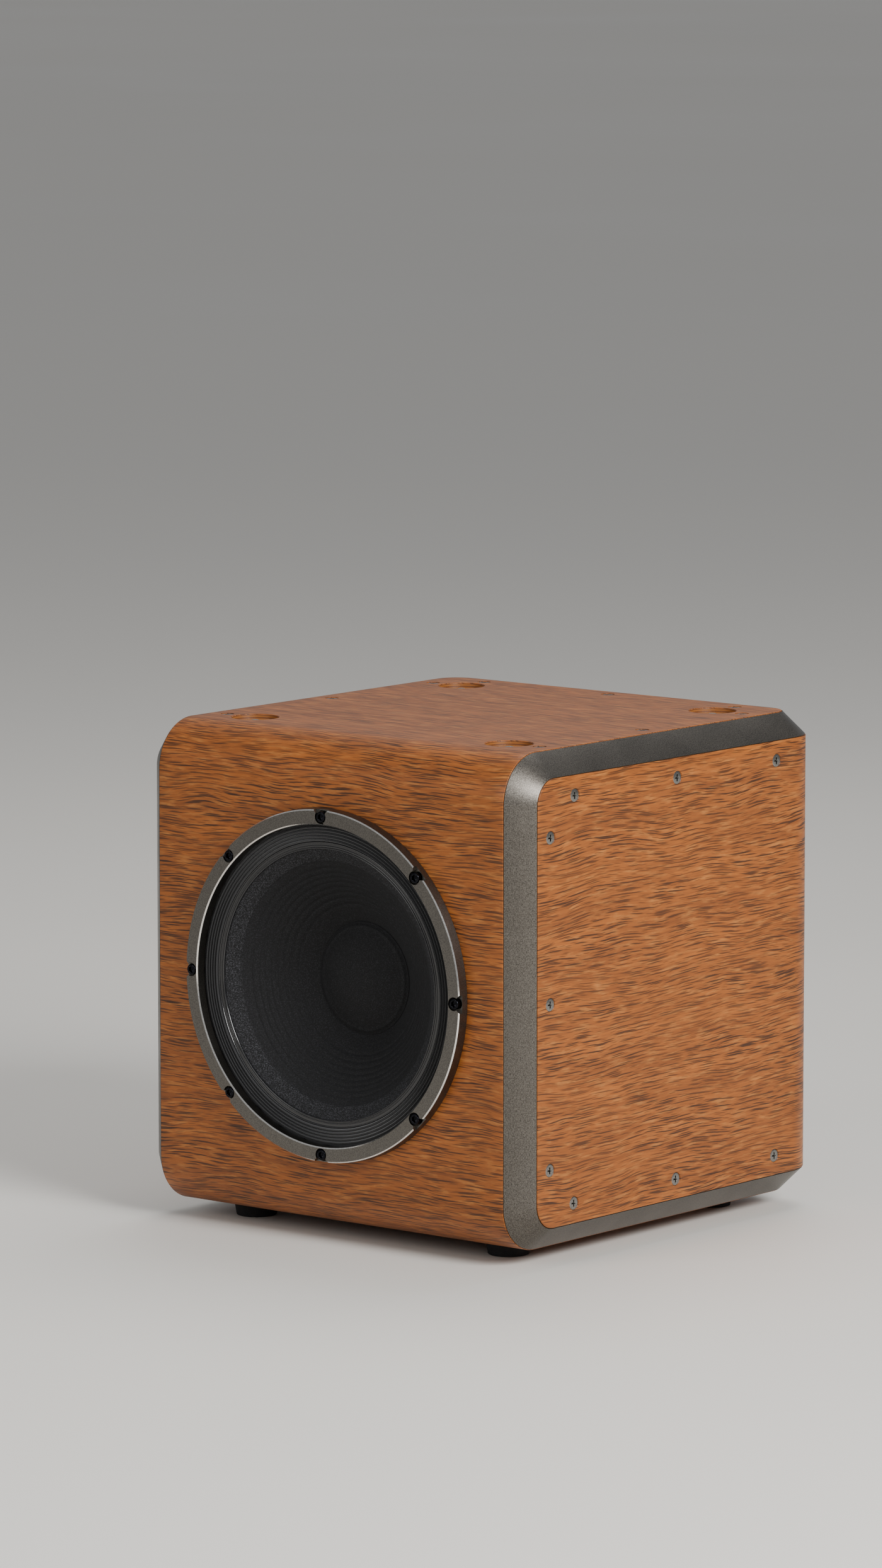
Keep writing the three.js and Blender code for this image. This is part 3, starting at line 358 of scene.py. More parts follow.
def add(tree, kind, inputs=None, **settings):
    """Adds a node with its settings. `inputs` gives a socket a value, or links it to another node's
    output."""
    node = tree.nodes.new(kind)
    for name, value in settings.items():
        setattr(node, name, value)
    for socket, value in (inputs or {}).items():
        if isinstance(value, bpy.types.NodeSocket):
            tree.links.new(value, node.inputs[socket])
        else:
            node.inputs[socket].default_value = value
    return node


def blank(name, **sockets):
    """A material with one Principled shader whose sockets have these values."""
    material = bpy.data.materials.new(name)
    material.use_nodes = True
    tree = material.node_tree
    tree.nodes.clear()
    shader = add(tree, "ShaderNodeBsdfPrincipled")
    add(tree, "ShaderNodeOutputMaterial", {"Surface": shader.outputs["BSDF"]})
    for socket, value in sockets.items():
        shader.inputs[socket.replace("_", " ")].default_value = value
    material.diffuse_color = sockets.get("Base_Color", (0.5, 0.5, 0.5, 1))
    return material, tree, shader


# Sockets of the Mix node when it mixes colours.
FACTOR, FIRST, SECOND, MIXED = 0, 6, 7, 2


def mottled(name, low, high, grain, roughness, relief=0.0, wash=30.0, stretch=(1, 1, 1), **sockets):
    """A finish whose colour runs between two hex colours with a grain of that size in metres, with a slower
    change of roughness (`wash` patches to the metre) and a relief of that depth in metres."""
    material, tree, shader = blank(name, Base_Color=colour(low), **sockets)
    place = add(tree, "ShaderNodeTexCoord").outputs["Object"]
    scaled = add(tree, "ShaderNodeMapping", {"Vector": place, "Scale": tuple(s / grain for s in stretch)})
    fine = add(tree, "ShaderNodeTexNoise", {"Vector": scaled.outputs[0], "Scale": 1.0, "Detail": 3.0})
    slow = add(tree, "ShaderNodeTexNoise", {"Vector": place, "Scale": wash, "Detail": 2.0})
    spread = add(tree, "ShaderNodeMapRange", {0: fine.outputs[0], 1: 0.32, 2: 0.68})
    shades = {FACTOR: spread.outputs[0], FIRST: colour(low), SECOND: colour(high)}
    mixed = add(tree, "ShaderNodeMix", shades, data_type="RGBA")
    tree.links.new(mixed.outputs[MIXED], shader.inputs["Base Color"])
    worn = add(tree, "ShaderNodeMath", {0: slow.outputs[0], 1: fine.outputs[0]}, operation="ADD")
    gloss = add(
        tree,
        "ShaderNodeMapRange",
        {0: worn.outputs[0], 1: 0.7, 2: 1.3, 3: roughness * 0.82, 4: min(roughness * 1.18, 1.0)},
    )
    tree.links.new(gloss.outputs[0], shader.inputs["Roughness"])
    if relief:
        bump = add(tree, "ShaderNodeBump", {"Height": fine.outputs[0], "Distance": relief, "Strength": 1.0})
        tree.links.new(bump.outputs[0], shader.inputs["Normal"])
    return material


# Thickness of the veneer and of each ply under it. The grain vector's Z is the depth under the skin.
VENEER, PLY = 0.7 * MM, 1.4 * MM


def mahogany_veneer():
    """Sliced mahogany veneer under a satin lacquer, glued to plywood. The eye sees dark pores 12 to 40 mm
    long, pale flecks 4 by 25 mm where the fibres turn, and a slow figure 15 mm wide. The pores are 0.3 mm
    wide and are drawn at 0.8 to 1.4 mm so that they show. Below the veneer lie the plywood's plies, stained
    wherever they are cut."""
    tint = tints()
    material, tree, shader = blank(
        "mahogany_veneer", Coat_Weight=0.1, Coat_Roughness=0.32, Specular_IOR_Level=0.35
    )
    grain = add(tree, "ShaderNodeAttribute", attribute_name="grain").outputs["Vector"]

    def patches(vector, scale, span, reach=(0.0, 1.0), detail=2.0, rough=0.55):
        """Noise with that many patches to the metre on each axis; the span of its values becomes `reach`."""
        drawn = add(tree, "ShaderNodeVectorMath", {0: vector, 1: scale}, operation="MULTIPLY")
        inputs = {"Vector": drawn.outputs[0], "Scale": 1.0, "Detail": detail, "Roughness": rough}
        value = add(tree, "ShaderNodeTexNoise", inputs).outputs[0]
        ends = {0: value, 1: span[0], 2: span[1], 3: reach[0], 4: reach[1]}
        return add(tree, "ShaderNodeMapRange", ends).outputs[0]

    def dashes(vector, cell_length, cell_width, size):
        """One tapered dash in each cell of that length and width; `size` is its half length in cells."""
        cells = {0: vector, 1: (1 / cell_length, 1 / cell_width, 1)}
        drawn = add(tree, "ShaderNodeVectorMath", cells, operation="MULTIPLY")
        inputs = {"Vector": drawn.outputs[0], "Scale": 1.0}
        away = add(tree, "ShaderNodeTexVoronoi", inputs, voronoi_dimensions="2D").outputs["Distance"]
        return add(tree, "ShaderNodeMapRange", {0: away, 1: size, 2: size * 0.55}).outputs[0]

    # The fibres drift by up to 8 mm and waver by 0.35 mm, and every pattern follows them.
    drift = patches(grain, (5, 9, 9), (0.2, 0.8), (-8 * MM, 8 * MM))
    waver = patches(grain, (60, 90, 90), (0.2, 0.8), (-0.35 * MM, 0.35 * MM))
    both = add(tree, "ShaderNodeMath", {0: drift, 1: waver}, operation="ADD")
    sideways = add(tree, "ShaderNodeCombineXYZ", {"Y": both.outputs[0]})
    bent = add(tree, "ShaderNodeVectorMath", {0: grain, 1: sideways.outputs[0]}, operation="ADD").outputs[0]
    figure = patches(bent, (6, 65, 65), (0.3, 0.7), detail=4.0, rough=0.62)
    flecks = patches(bent, (40, 230, 230), (0.5, 0.7), detail=3.0, rough=0.6)
    streaks = patches(bent, (14, 480, 480), (0.45, 0.65), detail=3.0, rough=0.65)
    fibre = patches(bent, (70, 1300, 1300), (0.3, 0.7))
    crowd = patches(bent, (7, 35, 35), (0.3, 0.6), (0.6, 1.0))
    elsewhere = add(tree, "ShaderNodeVectorMath", {0: bent, 1: (0.31, 0.17, 0)}).outputs[0]
    longer = {
        0: dashes(bent, 80 * MM, 2.9 * MM, 0.25),
        1: dashes(elsewhere, 52 * MM, 2.4 * MM, 0.24),
    }
    short_pores = {0: dashes(bent, 28 * MM, 1.8 * MM, 0.22), 1: 0.7}
    either = {
        0: add(tree, "ShaderNodeMath", longer, operation="MAXIMUM").outputs[0],
        1: add(tree, "ShaderNodeMath", short_pores, operation="MULTIPLY").outputs[0],
    }
    all_pores = add(tree, "ShaderNodeMath", either, operation="MAXIMUM").outputs[0]
    pores = add(tree, "ShaderNodeMath", {0: all_pores, 1: crowd}, operation="MULTIPLY").outputs[0]
    wood = tint.veneer_dark
    for pattern, most, shade in (
        (figure, 1.0, tint.veneer_light),
        (flecks, 0.5, tint.veneer_fleck),
        (streaks, 0.5, colour("#5E2F0E")),
        (fibre, 0.2, colour("#5C3013")),
        (pores, 0.92, tint.veneer_pore),
    ):
        share = add(tree, "ShaderNodeMath", {0: pattern, 1: most}, operation="MULTIPLY").outputs[0]
        shades = {FACTOR: share, FIRST: wood, SECOND: shade}
        wood = add(tree, "ShaderNodeMix", shades, data_type="RGBA").outputs[MIXED]
    depth = add(tree, "ShaderNodeSeparateXYZ", {0: grain}).outputs[2]
    in_pair = add(tree, "ShaderNodeMath", {0: depth, 1: 2 * PLY}, operation="MODULO").outputs[0]
    light_ply = add(tree, "ShaderNodeMath", {0: in_pair, 1: PLY}, operation="GREATER_THAN").outputs[0]
    shades = {FACTOR: light_ply, FIRST: colour("#643A1A"), SECOND: colour("#8A5524")}
    plies = add(tree, "ShaderNodeMix", shades, data_type="RGBA").outputs[MIXED]
    below = add(tree, "ShaderNodeMath", {0: depth, 1: VENEER}, operation="GREATER_THAN").outputs[0]
    shades = {FACTOR: below, FIRST: wood, SECOND: plies}
    seen = add(tree, "ShaderNodeMix", shades, data_type="RGBA").outputs[MIXED]
    tree.links.new(seen, shader.inputs["Base Color"])
    gloss = add(tree, "ShaderNodeMapRange", {0: figure, 1: 0.0, 2: 1.0, 3: 0.52, 4: 0.42})
    tree.links.new(gloss.outputs[0], shader.inputs["Roughness"])
    raised = add(tree, "ShaderNodeMath", {0: fibre, 1: 0.25}, operation="MULTIPLY").outputs[0]
    height = add(tree, "ShaderNodeMath", {0: raised, 1: pores}, operation="SUBTRACT").outputs[0]
    bump = add(tree, "ShaderNodeBump", {"Height": height, "Distance": 0.06 * MM, "Strength": 0.8})
    tree.links.new(bump.outputs[0], shader.inputs["Normal"])
    return material


def woven(name, dark, light, thread, relief, **sockets):
    """A plain weave on the piece's own "weave" vectors: the product of two sines gives the threads'
    crowns. The crowns are painted in the light colour as a highlight, and the hollows between threads in
    the dark colour as painted shade."""
    material, tree, shader = blank(name, **sockets)
    place = add(tree, "ShaderNodeAttribute", attribute_name="weave").outputs["Vector"]
    turns = (math.pi / thread,) * 3
    phase = add(tree, "ShaderNodeVectorMath", {0: place, 1: turns}, operation="MULTIPLY")
    sines = add(tree, "ShaderNodeVectorMath", {0: phase.outputs[0]}, operation="SINE")
    parts = add(tree, "ShaderNodeSeparateXYZ", {0: sines.outputs[0]})
    crowns = add(tree, "ShaderNodeMath", {0: parts.outputs[0], 1: parts.outputs[1]}, operation="MULTIPLY")
    # Painted light: the crowns take the light colour as a painted highlight, the hollows between threads the
    # dark colour as painted shade.
    lit = add(tree, "ShaderNodeMapRange", {0: crowns.outputs[0], 1: 0.1, 2: 0.95})
    shades = {FACTOR: lit.outputs[0], FIRST: colour(dark), SECOND: colour(light)}
    mixed = add(tree, "ShaderNodeMix", shades, data_type="RGBA")
    tree.links.new(mixed.outputs[MIXED], shader.inputs["Base Color"])
    bump = add(tree, "ShaderNodeBump", {"Height": crowns.outputs[0], "Distance": relief, "Strength": 1.0})
    tree.links.new(bump.outputs[0], shader.inputs["Normal"])
    return material


def pulp_paper():
    """Pressed paper pulp, dyed dark: pale fibres about 1 mm long on a charcoal ground. Inside a radius of
    about 108 mm they are drawn at three tenths, so the bowl is darker than the band by the surround."""
    material, tree, shader = blank("pulp_paper", Roughness=0.82, Specular_IOR_Level=0.35)
    place = add(tree, "ShaderNodeTexCoord").outputs["Object"]
    inputs = {"Vector": place, "Scale": 950.0, "Detail": 3.0, "Roughness": 0.7}
    speck = add(tree, "ShaderNodeTexNoise", inputs).outputs[0]
    flat = add(tree, "ShaderNodeVectorMath", {0: place, 1: (1, 0, 1)}, operation="MULTIPLY")
    from_axis = add(
        tree, "ShaderNodeVectorMath", {0: flat.outputs[0], 1: (0, 0, MIDDLE_UP)}, operation="SUBTRACT"
    )
    radius = add(tree, "ShaderNodeVectorMath", {0: from_axis.outputs[0]}, operation="LENGTH")
    # The bowl inside about 108 mm is drawn darker than the outer band.
    band = add(tree, "ShaderNodeMapRange", {0: radius.outputs["Value"], 1: 0.107, 2: 0.109, 3: 0.3, 4: 1.0})
    fibres = add(tree, "ShaderNodeMapRange", {0: speck, 1: 0.48, 2: 0.68})
    share = add(tree, "ShaderNodeMath", {0: fibres.outputs[0], 1: band.outputs[0]}, operation="MULTIPLY")
    shades = {FACTOR: share.outputs[0], FIRST: colour("#0B0B0C"), SECOND: colour("#414145")}
    mixed = add(tree, "ShaderNodeMix", shades, data_type="RGBA")
    tree.links.new(mixed.outputs[MIXED], shader.inputs["Base Color"])
    bump = add(tree, "ShaderNodeBump", {"Height": speck, "Distance": 0.12 * MM, "Strength": 0.8})
    tree.links.new(bump.outputs[0], shader.inputs["Normal"])
    return material


def copper_winding():
    """Enamelled copper wire wound on a former: a 0.35 mm pitch along the driver's axis, drawn at 0.7 mm. Each
    turn is painted light on its crown and dark between turns: a painted highlight and painted shade.
    """
    copper = colour("#B4622F")
    material, tree, shader = blank("copper_winding", Base_Color=copper, Metallic=1.0, Roughness=0.3)
    place = add(tree, "ShaderNodeTexCoord").outputs["Object"]
    pitch = 2 * math.pi / (0.7 * MM)
    phase = add(tree, "ShaderNodeVectorMath", {0: place, 1: (0, pitch, 0)}, operation="MULTIPLY")
    sines = add(tree, "ShaderNodeVectorMath", {0: phase.outputs[0]}, operation="SINE")
    turn = add(tree, "ShaderNodeSeparateXYZ", {0: sines.outputs[0]}).outputs[1]
    # Painted light: each turn's crown gets the light copper as a painted highlight, the groove between turns
    # the dark copper as painted shade.
    painted_turn_shading = add(tree, "ShaderNodeMapRange", {0: turn, 1: -1.0, 2: 1.0})
    shades = {FACTOR: painted_turn_shading.outputs[0], FIRST: colour("#6E3516"), SECOND: colour("#C8743C")}
    mixed = add(tree, "ShaderNodeMix", shades, data_type="RGBA")
    tree.links.new(mixed.outputs[MIXED], shader.inputs["Base Color"])
    bump = add(tree, "ShaderNodeBump", {"Height": turn, "Distance": 0.1 * MM, "Strength": 1.0})
    tree.links.new(bump.outputs[0], shader.inputs["Normal"])
    return material


# Each row: two hex colours, grain in mm, roughness, relief in mm, patches to the metre and shader sockets. A
# finish with a direction also has three scales for X, Y and Z; a small one draws the grain out.
MOTTLED = {
    # Bead-blasted and clear-anodised aluminium: 0.3 mm dimples, drawn at 0.9 mm so that they show.
    "blasted_aluminium": ("#4A4641", "#746F68", 0.9, 0.38, 0.02, 22, {"Metallic": 1.0}),
    # Turned aluminium with a satin wax finish: even, a little lighter than the frame.
    "satin_aluminium": ("#55524E", "#75716B", 0.7, 0.34, 0.01, 25, {"Metallic": 1.0}),
    # The chamfers are cut last with a diamond tool, so they are nearly smooth; their far lighter colour is a
    # painted highlight along the edges.
    "cut_aluminium": ("#D6D2CB", "#F1EEE9", 1.5, 0.16, 0, 40, {"Metallic": 1.0}),
    # Zinc-plated steel screws, with the soft scratches of a driver bit.
    "plated_steel": ("#6C6A67", "#9F9D98", 0.8, 0.24, 0.01, 60, {"Metallic": 1.0}, (1, 3, 1)),
    # Black-oxide alloy steel, oiled.
    "black_oxide_steel": ("#101013", "#27272B", 0.6, 0.24, 0.01, 80, {"Metallic": 1.0}),
    # The damping compound on the surround's inner edge, black and glossy when dry.
    "damping_compound": ("#0B0B0C", "#1B1B1D", 1.2, 0.22, 0.02, 90, {"Coat_Weight": 0.5}),
    # Moulded nitrile rubber with a bloom of fine dust in its pores.
    "moulded_rubber": ("#0F0F10", "#242425", 0.6, 0.78, 0.03, 60, {"Specular_IOR_Level": 0.3}),
    # Epoxy powder coat on steel: an orange peel about 0.8 mm across.
    "powder_coat": ("#131315", "#222225", 0.8, 0.46, 0.03, 25, {"Specular_IOR_Level": 0.5}),
    # Black-anodised extruded aluminium, with fine die lines along the fins.
    "anodised_extrusion": ("#17171A", "#2B2B2F", 0.5, 0.36, 0.01, 25, {"Metallic": 0.9}, (1, 1, 0.03)),
    # Spark-eroded ABS mouldings: a matt grain about 0.4 mm.
    "moulded_plastic": ("#111113", "#1F1F22", 0.45, 0.48, 0.02, 50, {"Specular_IOR_Level": 0.5}),
    # Bright nickel plate on brass, for levers, pins and nuts.
    "nickel_plate": ("#A9A49A", "#CFCBC2", 0.7, 0.16, 0.005, 70, {"Metallic": 1.0}),
    # White screen-printed ink, slightly worn.
    "white_ink": ("#C9C8C4", "#E4E3DF", 0.5, 0.6, 0, 60, {}),
    # Birch plywood of the brace: pale, with a grain of 1.4 mm drawn out along the sheet.
    "birch_plywood": ("#A9824F", "#D8B684", 1.4, 0.7, 0.02, 20, {}, (0.02, 1, 0.06)),
    # Closed-cell foam tape.
    "foam_tape": ("#161616", "#303030", 0.9, 0.95, 0.08, 50, {}),
    # Aluminium casting, painted black: coarse sand skin under the paint.
    "painted_casting": ("#141416", "#28282B", 1.6, 0.5, 0.06, 25, {"Coat_Weight": 0.2}),
    # Polyimide film former, amber.
    "polyimide_film": ("#7A4A12", "#A8701F", 2.0, 0.28, 0, 40, {"Coat_Weight": 0.4}),
    # Yellow-passivated zinc on the motor's steel plates.
    "passivated_steel": ("#8B8272", "#B3A88F", 1.2, 0.34, 0.01, 30, {"Metallic": 1.0}),
    # Sintered ferrite, ground: dark grey, faintly sparkling.
    "sintered_ferrite": ("#1B1B1D", "#3A3A3D", 0.8, 0.62, 0.03, 25, {"Metallic": 0.2}),
    "red_insulation": ("#7C1313", "#A32020", 1.5, 0.42, 0, 40, {}),
    "black_insulation": ("#101011", "#202022", 1.5, 0.42, 0, 40, {}),
    # Hot-dip galvanised sheet: crystals about 8 mm across.
    "galvanised_sheet": ("#84878A", "#B4B7BA", 8.0, 0.36, 0.01, 60, {"Metallic": 1.0}),
    # Green solder resist over glass-fibre board.
    "circuit_board": ("#123A20", "#1E5430", 2.5, 0.34, 0.02, 60, {"Coat_Weight": 0.4}),
    # Polyester tape wound round the toroid.
    "winding_tape": ("#9A7A1E", "#C49E33", 3.0, 0.32, 0.03, 40, {"Coat_Weight": 0.3}),
    # The plain pale floor of the stage.
    "floor_paint": ("#D9D5CE", "#DEDAD3", 4000, 0.55, 0, 0.5, {}),
}

# Finishes with a pattern of their own.
PATTERNED = {
    "mahogany_veneer": mahogany_veneer,
    "pulp_paper": pulp_paper,
    "copper_winding": copper_winding,
    # Cotton cloth of the surround, filled with a dark sealing compound: threads 0.7 mm apart, their crowns
    # painted lighter as a highlight and the hollows painted darker as shade.
    "treated_cloth": lambda: woven(
        "treated_cloth", "#060607", "#26262A", 0.7 * MM, 0.12 * MM, Roughness=0.62, Sheen_Weight=0.25
    ),
    # Resin-stiffened cotton of the spider, amber-yellow, its thread crowns painted lighter as a highlight and
    # the hollows painted darker as shade.
    "resin_cotton": lambda: woven(
        "resin_cotton", "#8F7440", "#C5A566", 0.8 * MM, 0.08 * MM, Roughness=0.85, Sheen_Weight=0.2
    ),
}


def finished(name):
    """The material of that name, made at its first use."""
    if name in bpy.data.materials:
        return bpy.data.materials[name]
    if name in PATTERNED:
        return PATTERNED[name]()
    low, high, grain, roughness, relief, wash, sockets, *stretch = MOTTLED[name]
    return mottled(name, low, high, grain * MM, roughness, relief * MM, wash, *stretch, **sockets)


# ------------------------------------------------------------------ the two shells


def bend(along, depth, half):
    """A C-shaped sheet unrolled: `along` runs from one free edge round the two bends to the other, and
    `depth` goes into the wood. Returns (behind, off): how far behind the C's back, and how far off its
    middle. The legs are straight, with quarter circles of the corner radius between. `half` is half the C's
    height."""
    radius = sizes().corner_radius
    leg = REAR - FRONT - BEVEL_LEG - radius
    quarter = radius * math.pi / 2
    back = 2 * (half - radius)
    turn = (np.clip(along - leg, 0, quarter) + np.clip(along - leg - quarter - back, 0, quarter)) / radius
    behind = radius * (1 - np.sin(turn)) + np.maximum(leg - along, 0)
    behind += np.maximum(along - leg - 2 * quarter - back, 0) + depth * np.sin(turn)
    past = np.clip(along - leg - quarter, 0, back)
    off = radius * np.cos(turn) + half - radius - past - depth * np.cos(turn)
    return behind, off


def unroll(behind, off, half):
    """The inverse of bend: (along, depth) of points in the wood."""
    radius = sizes().corner_radius
    leg = REAR - FRONT - BEVEL_LEG - radius
    quarter = radius * math.pi / 2
    back = 2 * (half - radius)
    in_leg, in_back = behind >= radius, np.abs(off) <= half - radius
    beside = np.maximum(np.abs(off) - (half - radius), 0)
    ahead = np.maximum(radius - behind, 0)
    turn = np.arctan2(ahead, np.maximum(beside, 1e-9))
    from_edge = np.where(in_leg, leg + radius - behind, leg + radius * turn)
    from_edge = np.where(in_back & ~in_leg, leg + quarter + half - radius - np.abs(off), from_edge)
    depth = np.where(in_leg, half - np.abs(off), radius - np.hypot(ahead, beside))
    depth = np.where(in_back & ~in_leg, behind, depth)
    total = 2 * (leg + quarter) + back
    return np.where(off > 0, from_edge, total - from_edge), depth


def shell(half, reach):
    """A bent plate whose unrolled outline is a rectangle with round corners: `half` is half the C's height
    and `reach` half its width across. A grid on the skin, its rounded rim, the edge wall, and a grid inside.
    Returns the shape in (across, behind, off)."""
    size = sizes()
    radius, wall, edge = size.corner_radius, size.wall, size.edge
    corner = radius - BEVEL_LEG
    leg = REAR - FRONT - BEVEL_LEG - radius
    quarter = radius * math.pi / 2
    back = 2 * (half - radius)
    total = 2 * (leg + quarter) + back
    arc = np.linspace(0, np.pi / 2, 9)
    flat, tight = 12 * MM, 0.4 * MM
    stations = [
        np.linspace(corner, leg - tight, round((leg - corner) / flat))[1:],
        np.linspace(leg, leg + quarter, 25),
        np.linspace(leg + quarter + tight, total / 2, round(back / 2 / flat)),
    ]
    half_way = np.concatenate(stations)
    inner_rows = np.concatenate([half_way, (total - half_way)[::-1][1:]])
    columns = round(2 * reach / flat)
    share = np.linspace(-1, 1, columns + 1)

    def grid(inset, depth):
        from_end = inset + (corner - inset) * (1 - np.cos(arc))
        narrow = reach - corner + (corner - inset) * np.sin(arc)
        along = np.concatenate([from_end, inner_rows, (total - from_end)[::-1]])
        wide = np.concatenate([narrow, np.full(len(inner_rows), reach - inset), narrow[::-1]])
        across = wide[:, None] * share
        behind, off = bend(along[:, None], depth, half)
        shape = across.shape
        return np.stack([across, np.broadcast_to(behind, shape), np.broadcast_to(off, shape)], axis=2)

    skin, inside = grid(edge, 0.0), grid(0.0, wall)
    rows, columns = skin.shape[:2]
    number = np.arange(rows * columns).reshape(rows, columns)
    rim = np.concatenate([number[0], number[1:, -1], number[-1, -2::-1], number[-2:0:-1, 0]])
    round_over = np.linspace(0, np.pi / 2, 4)[1:]
    levels = [(edge * (1 - math.sin(a)), edge * (1 - math.cos(a))) for a in round_over]
    loops = [grid(inset, depth).reshape(-1, 3)[rim] for inset, depth in levels]
    points = np.concatenate([skin.reshape(-1, 3), inside.reshape(-1, 3), *loops])
    loop_numbers = [rim]
    loop_numbers += [2 * rows * columns + i * len(rim) + np.arange(len(rim)) for i in range(len(loops))]
    loop_numbers += [rows * columns + rim]
    sides = []
    for upper, lower in zip(loop_numbers, loop_numbers[1:]):
        sides.append(np.stack([upper, lower, np.roll(lower, -1), np.roll(upper, -1)], axis=1))
    over = lattice(rows, columns)
    return points, [over, (over + rows * columns)[:, ::-1], *sides]


def in_front_shell(shape):
    """From (across, behind, off) to the front shell's place: across is X, and the C opens to the rear."""
    points, faces = shape
    across, behind, off = points.T
    return outward((np.stack([across, FRONT + behind, MIDDLE_UP + off], axis=1), faces))


def in_rear_shell(shape):
    """From (across, behind, off) to the rear shell's place: across is Z, and the C opens to the front."""
    points, faces = shape
    across, behind, off = points.T
    return outward((np.stack([off, REAR - behind, MIDDLE_UP + across], axis=1), faces))


def edge_screws(facing):
    """Where a wing's nine screws go: three along each of its three free edges, at thirds of the cabinet."""
    line = BEVEL_LEG + sizes().screw_inset
    thirds = np.array([-2 / 3, 0, 2 / 3])
    depths = (FRONT + REAR) / 2 + thirds * HALF_DEPTH
    if facing in ("right", "left"):
        x = HALF_WIDTH if facing == "right" else -HALF_WIDTH
        places = [(x, FRONT + line, MIDDLE_UP + up * HALF_HEIGHT) for up in thirds]
        places += [(x, y, z) for y in depths for z in (BOTTOM + line, TOP - line)]
        return places
    z = TOP if facing == "top" else BOTTOM
    places = [(off * HALF_WIDTH, REAR - line, z) for off in thirds]
    places += [(sign * (HALF_WIDTH - line), y, z) for y in depths for sign in (-1, 1)]
    return places


WINGS = ("right", "left", "top", "bottom")
SCREW = {"head": 5.65 * MM, "shank": 3 * MM, "sunk": 0.4 * MM, "length": 28 * MM, "clear": 0.6 * MM}


def countersink():
    """The hole for a shell screw: a mouth as wide as its head, a cone, and a clear hole through the wall."""
    mouth = SCREW["head"] + SCREW["clear"]
    hole = SCREW["shank"] + SCREW["clear"]
    return rings(
        [mouth, mouth, mouth, hole, hole],
        [2 * MM, 0.2 * MM, -SCREW["sunk"], -SCREW["sunk"] - mouth + hole, -30 * MM],
        40,
    )


def shell_holes(wings):
    """The countersinks of these wings."""
    return [placed(countersink(), at, facing) for facing in wings for at in edge_screws(facing)]


def foot_places():
    """(name, x, y) of each foot, and of the cup above it."""
    return [(name, middle("foot_" + name, "x"), middle("foot_" + name, "y")) for name in FEET]


class SUBWOOFER_OT_front_shell(bpy.types.Operator):
    """Adds the shell of front, top and bottom, with the driver's hole, the stacking cups and its screw
    holes"""

    bl_idname = "subwoofer.front_shell"
    bl_label = "Front shell"

    def execute(self, context):
        size = sizes()
        shape = in_front_shell(shell(HALF_HEIGHT, HALF_WIDTH - BEVEL_LEG))
        piece = linked("front_shell", [(shape, "mahogany_veneer")])
        seat_radius = side("basket", "x") + 0.4 * MM
        seat_depth, hole_radius = 7 * MM, 141.5 * MM
        levels = [2 * MM, -seat_depth, -seat_depth, -25 * MM]
        hole = rings([seat_radius, seat_radius, hole_radius, hole_radius], levels, 160)
        cup = [(size.cup_radius + 0.7 * MM, 1 * MM), (size.cup_radius + 0.7 * MM, 0.0)]
        cup += [(size.cup_radius, -0.7 * MM), (size.cup_radius, -size.cup_depth)]
        stud_clear = 0.3 * MM
        stud_hole = side("cup_stud_front_left", "x") - middle("cup_stud_front_left", "x") + stud_clear
        cup += [(stud_hole, -size.cup_depth), (stud_hole, -size.cup_depth - size.stud_sunk)]
        tools = shell_holes(("top", "bottom"))
        tools += [placed(hole, (0, FRONT, MIDDLE_UP), "front")]
        for _, x, y in foot_places():
            tools.append(placed(lathe(cup, 0.3 * MM, 96), (x, y, TOP), "top"))
        bored(piece, tools)
        points = positions(piece.data)
        along, depth = unroll(points[:, 1] - FRONT, points[:, 2] - MIDDLE_UP, HALF_HEIGHT)
        add_vectors(piece.data, "grain", np.stack([points[:, 0], along, depth], axis=1))
        settle(piece, "cabinet", ["front_wrap"])
        return {"FINISHED"}


class SUBWOOFER_OT_rear_shell(bpy.types.Operator):
    """Adds the shell of both sides and the rear, with the amplifier's opening and its screw holes"""

    bl_idname = "subwoofer.rear_shell"
    bl_label = "Rear shell"

    def execute(self, context):
        shape = in_rear_shell(shell(HALF_WIDTH, HALF_HEIGHT - BEVEL_LEG))
        piece = linked("rear_shell", [(shape, "mahogany_veneer")])
        width = 2 * side("amp_plate", "x")
        height = side("amp_plate", "z") - side("amp_plate", "z", False)
        land = 13 * MM
        clear = 0.8 * MM
        step = slab(width + clear, height + clear, 8.4 * MM, -5 * MM, 3 * MM, 0.05 * MM)
        opening = slab(width - 2 * land, height - 2 * land, 5 * MM, -30 * MM, -4 * MM, 0.05 * MM)
        at = (0, REAR, middle("amp_plate", "z"))
        bored(piece, [*shell_holes(("right", "left")), placed(step, at, "rear")])
        bored(piece, [placed(opening, at, "rear")])
        points = positions(piece.data)
        along, depth = unroll(REAR - points[:, 1], points[:, 0], HALF_WIDTH)
        add_vectors(piece.data, "grain", np.stack([along + 1.0, points[:, 2], depth], axis=1))
        settle(piece, "cabinet", ["rear_wrap"])
        return {"FINISHED"}


# ------------------------------------------------------------------ the seam frame


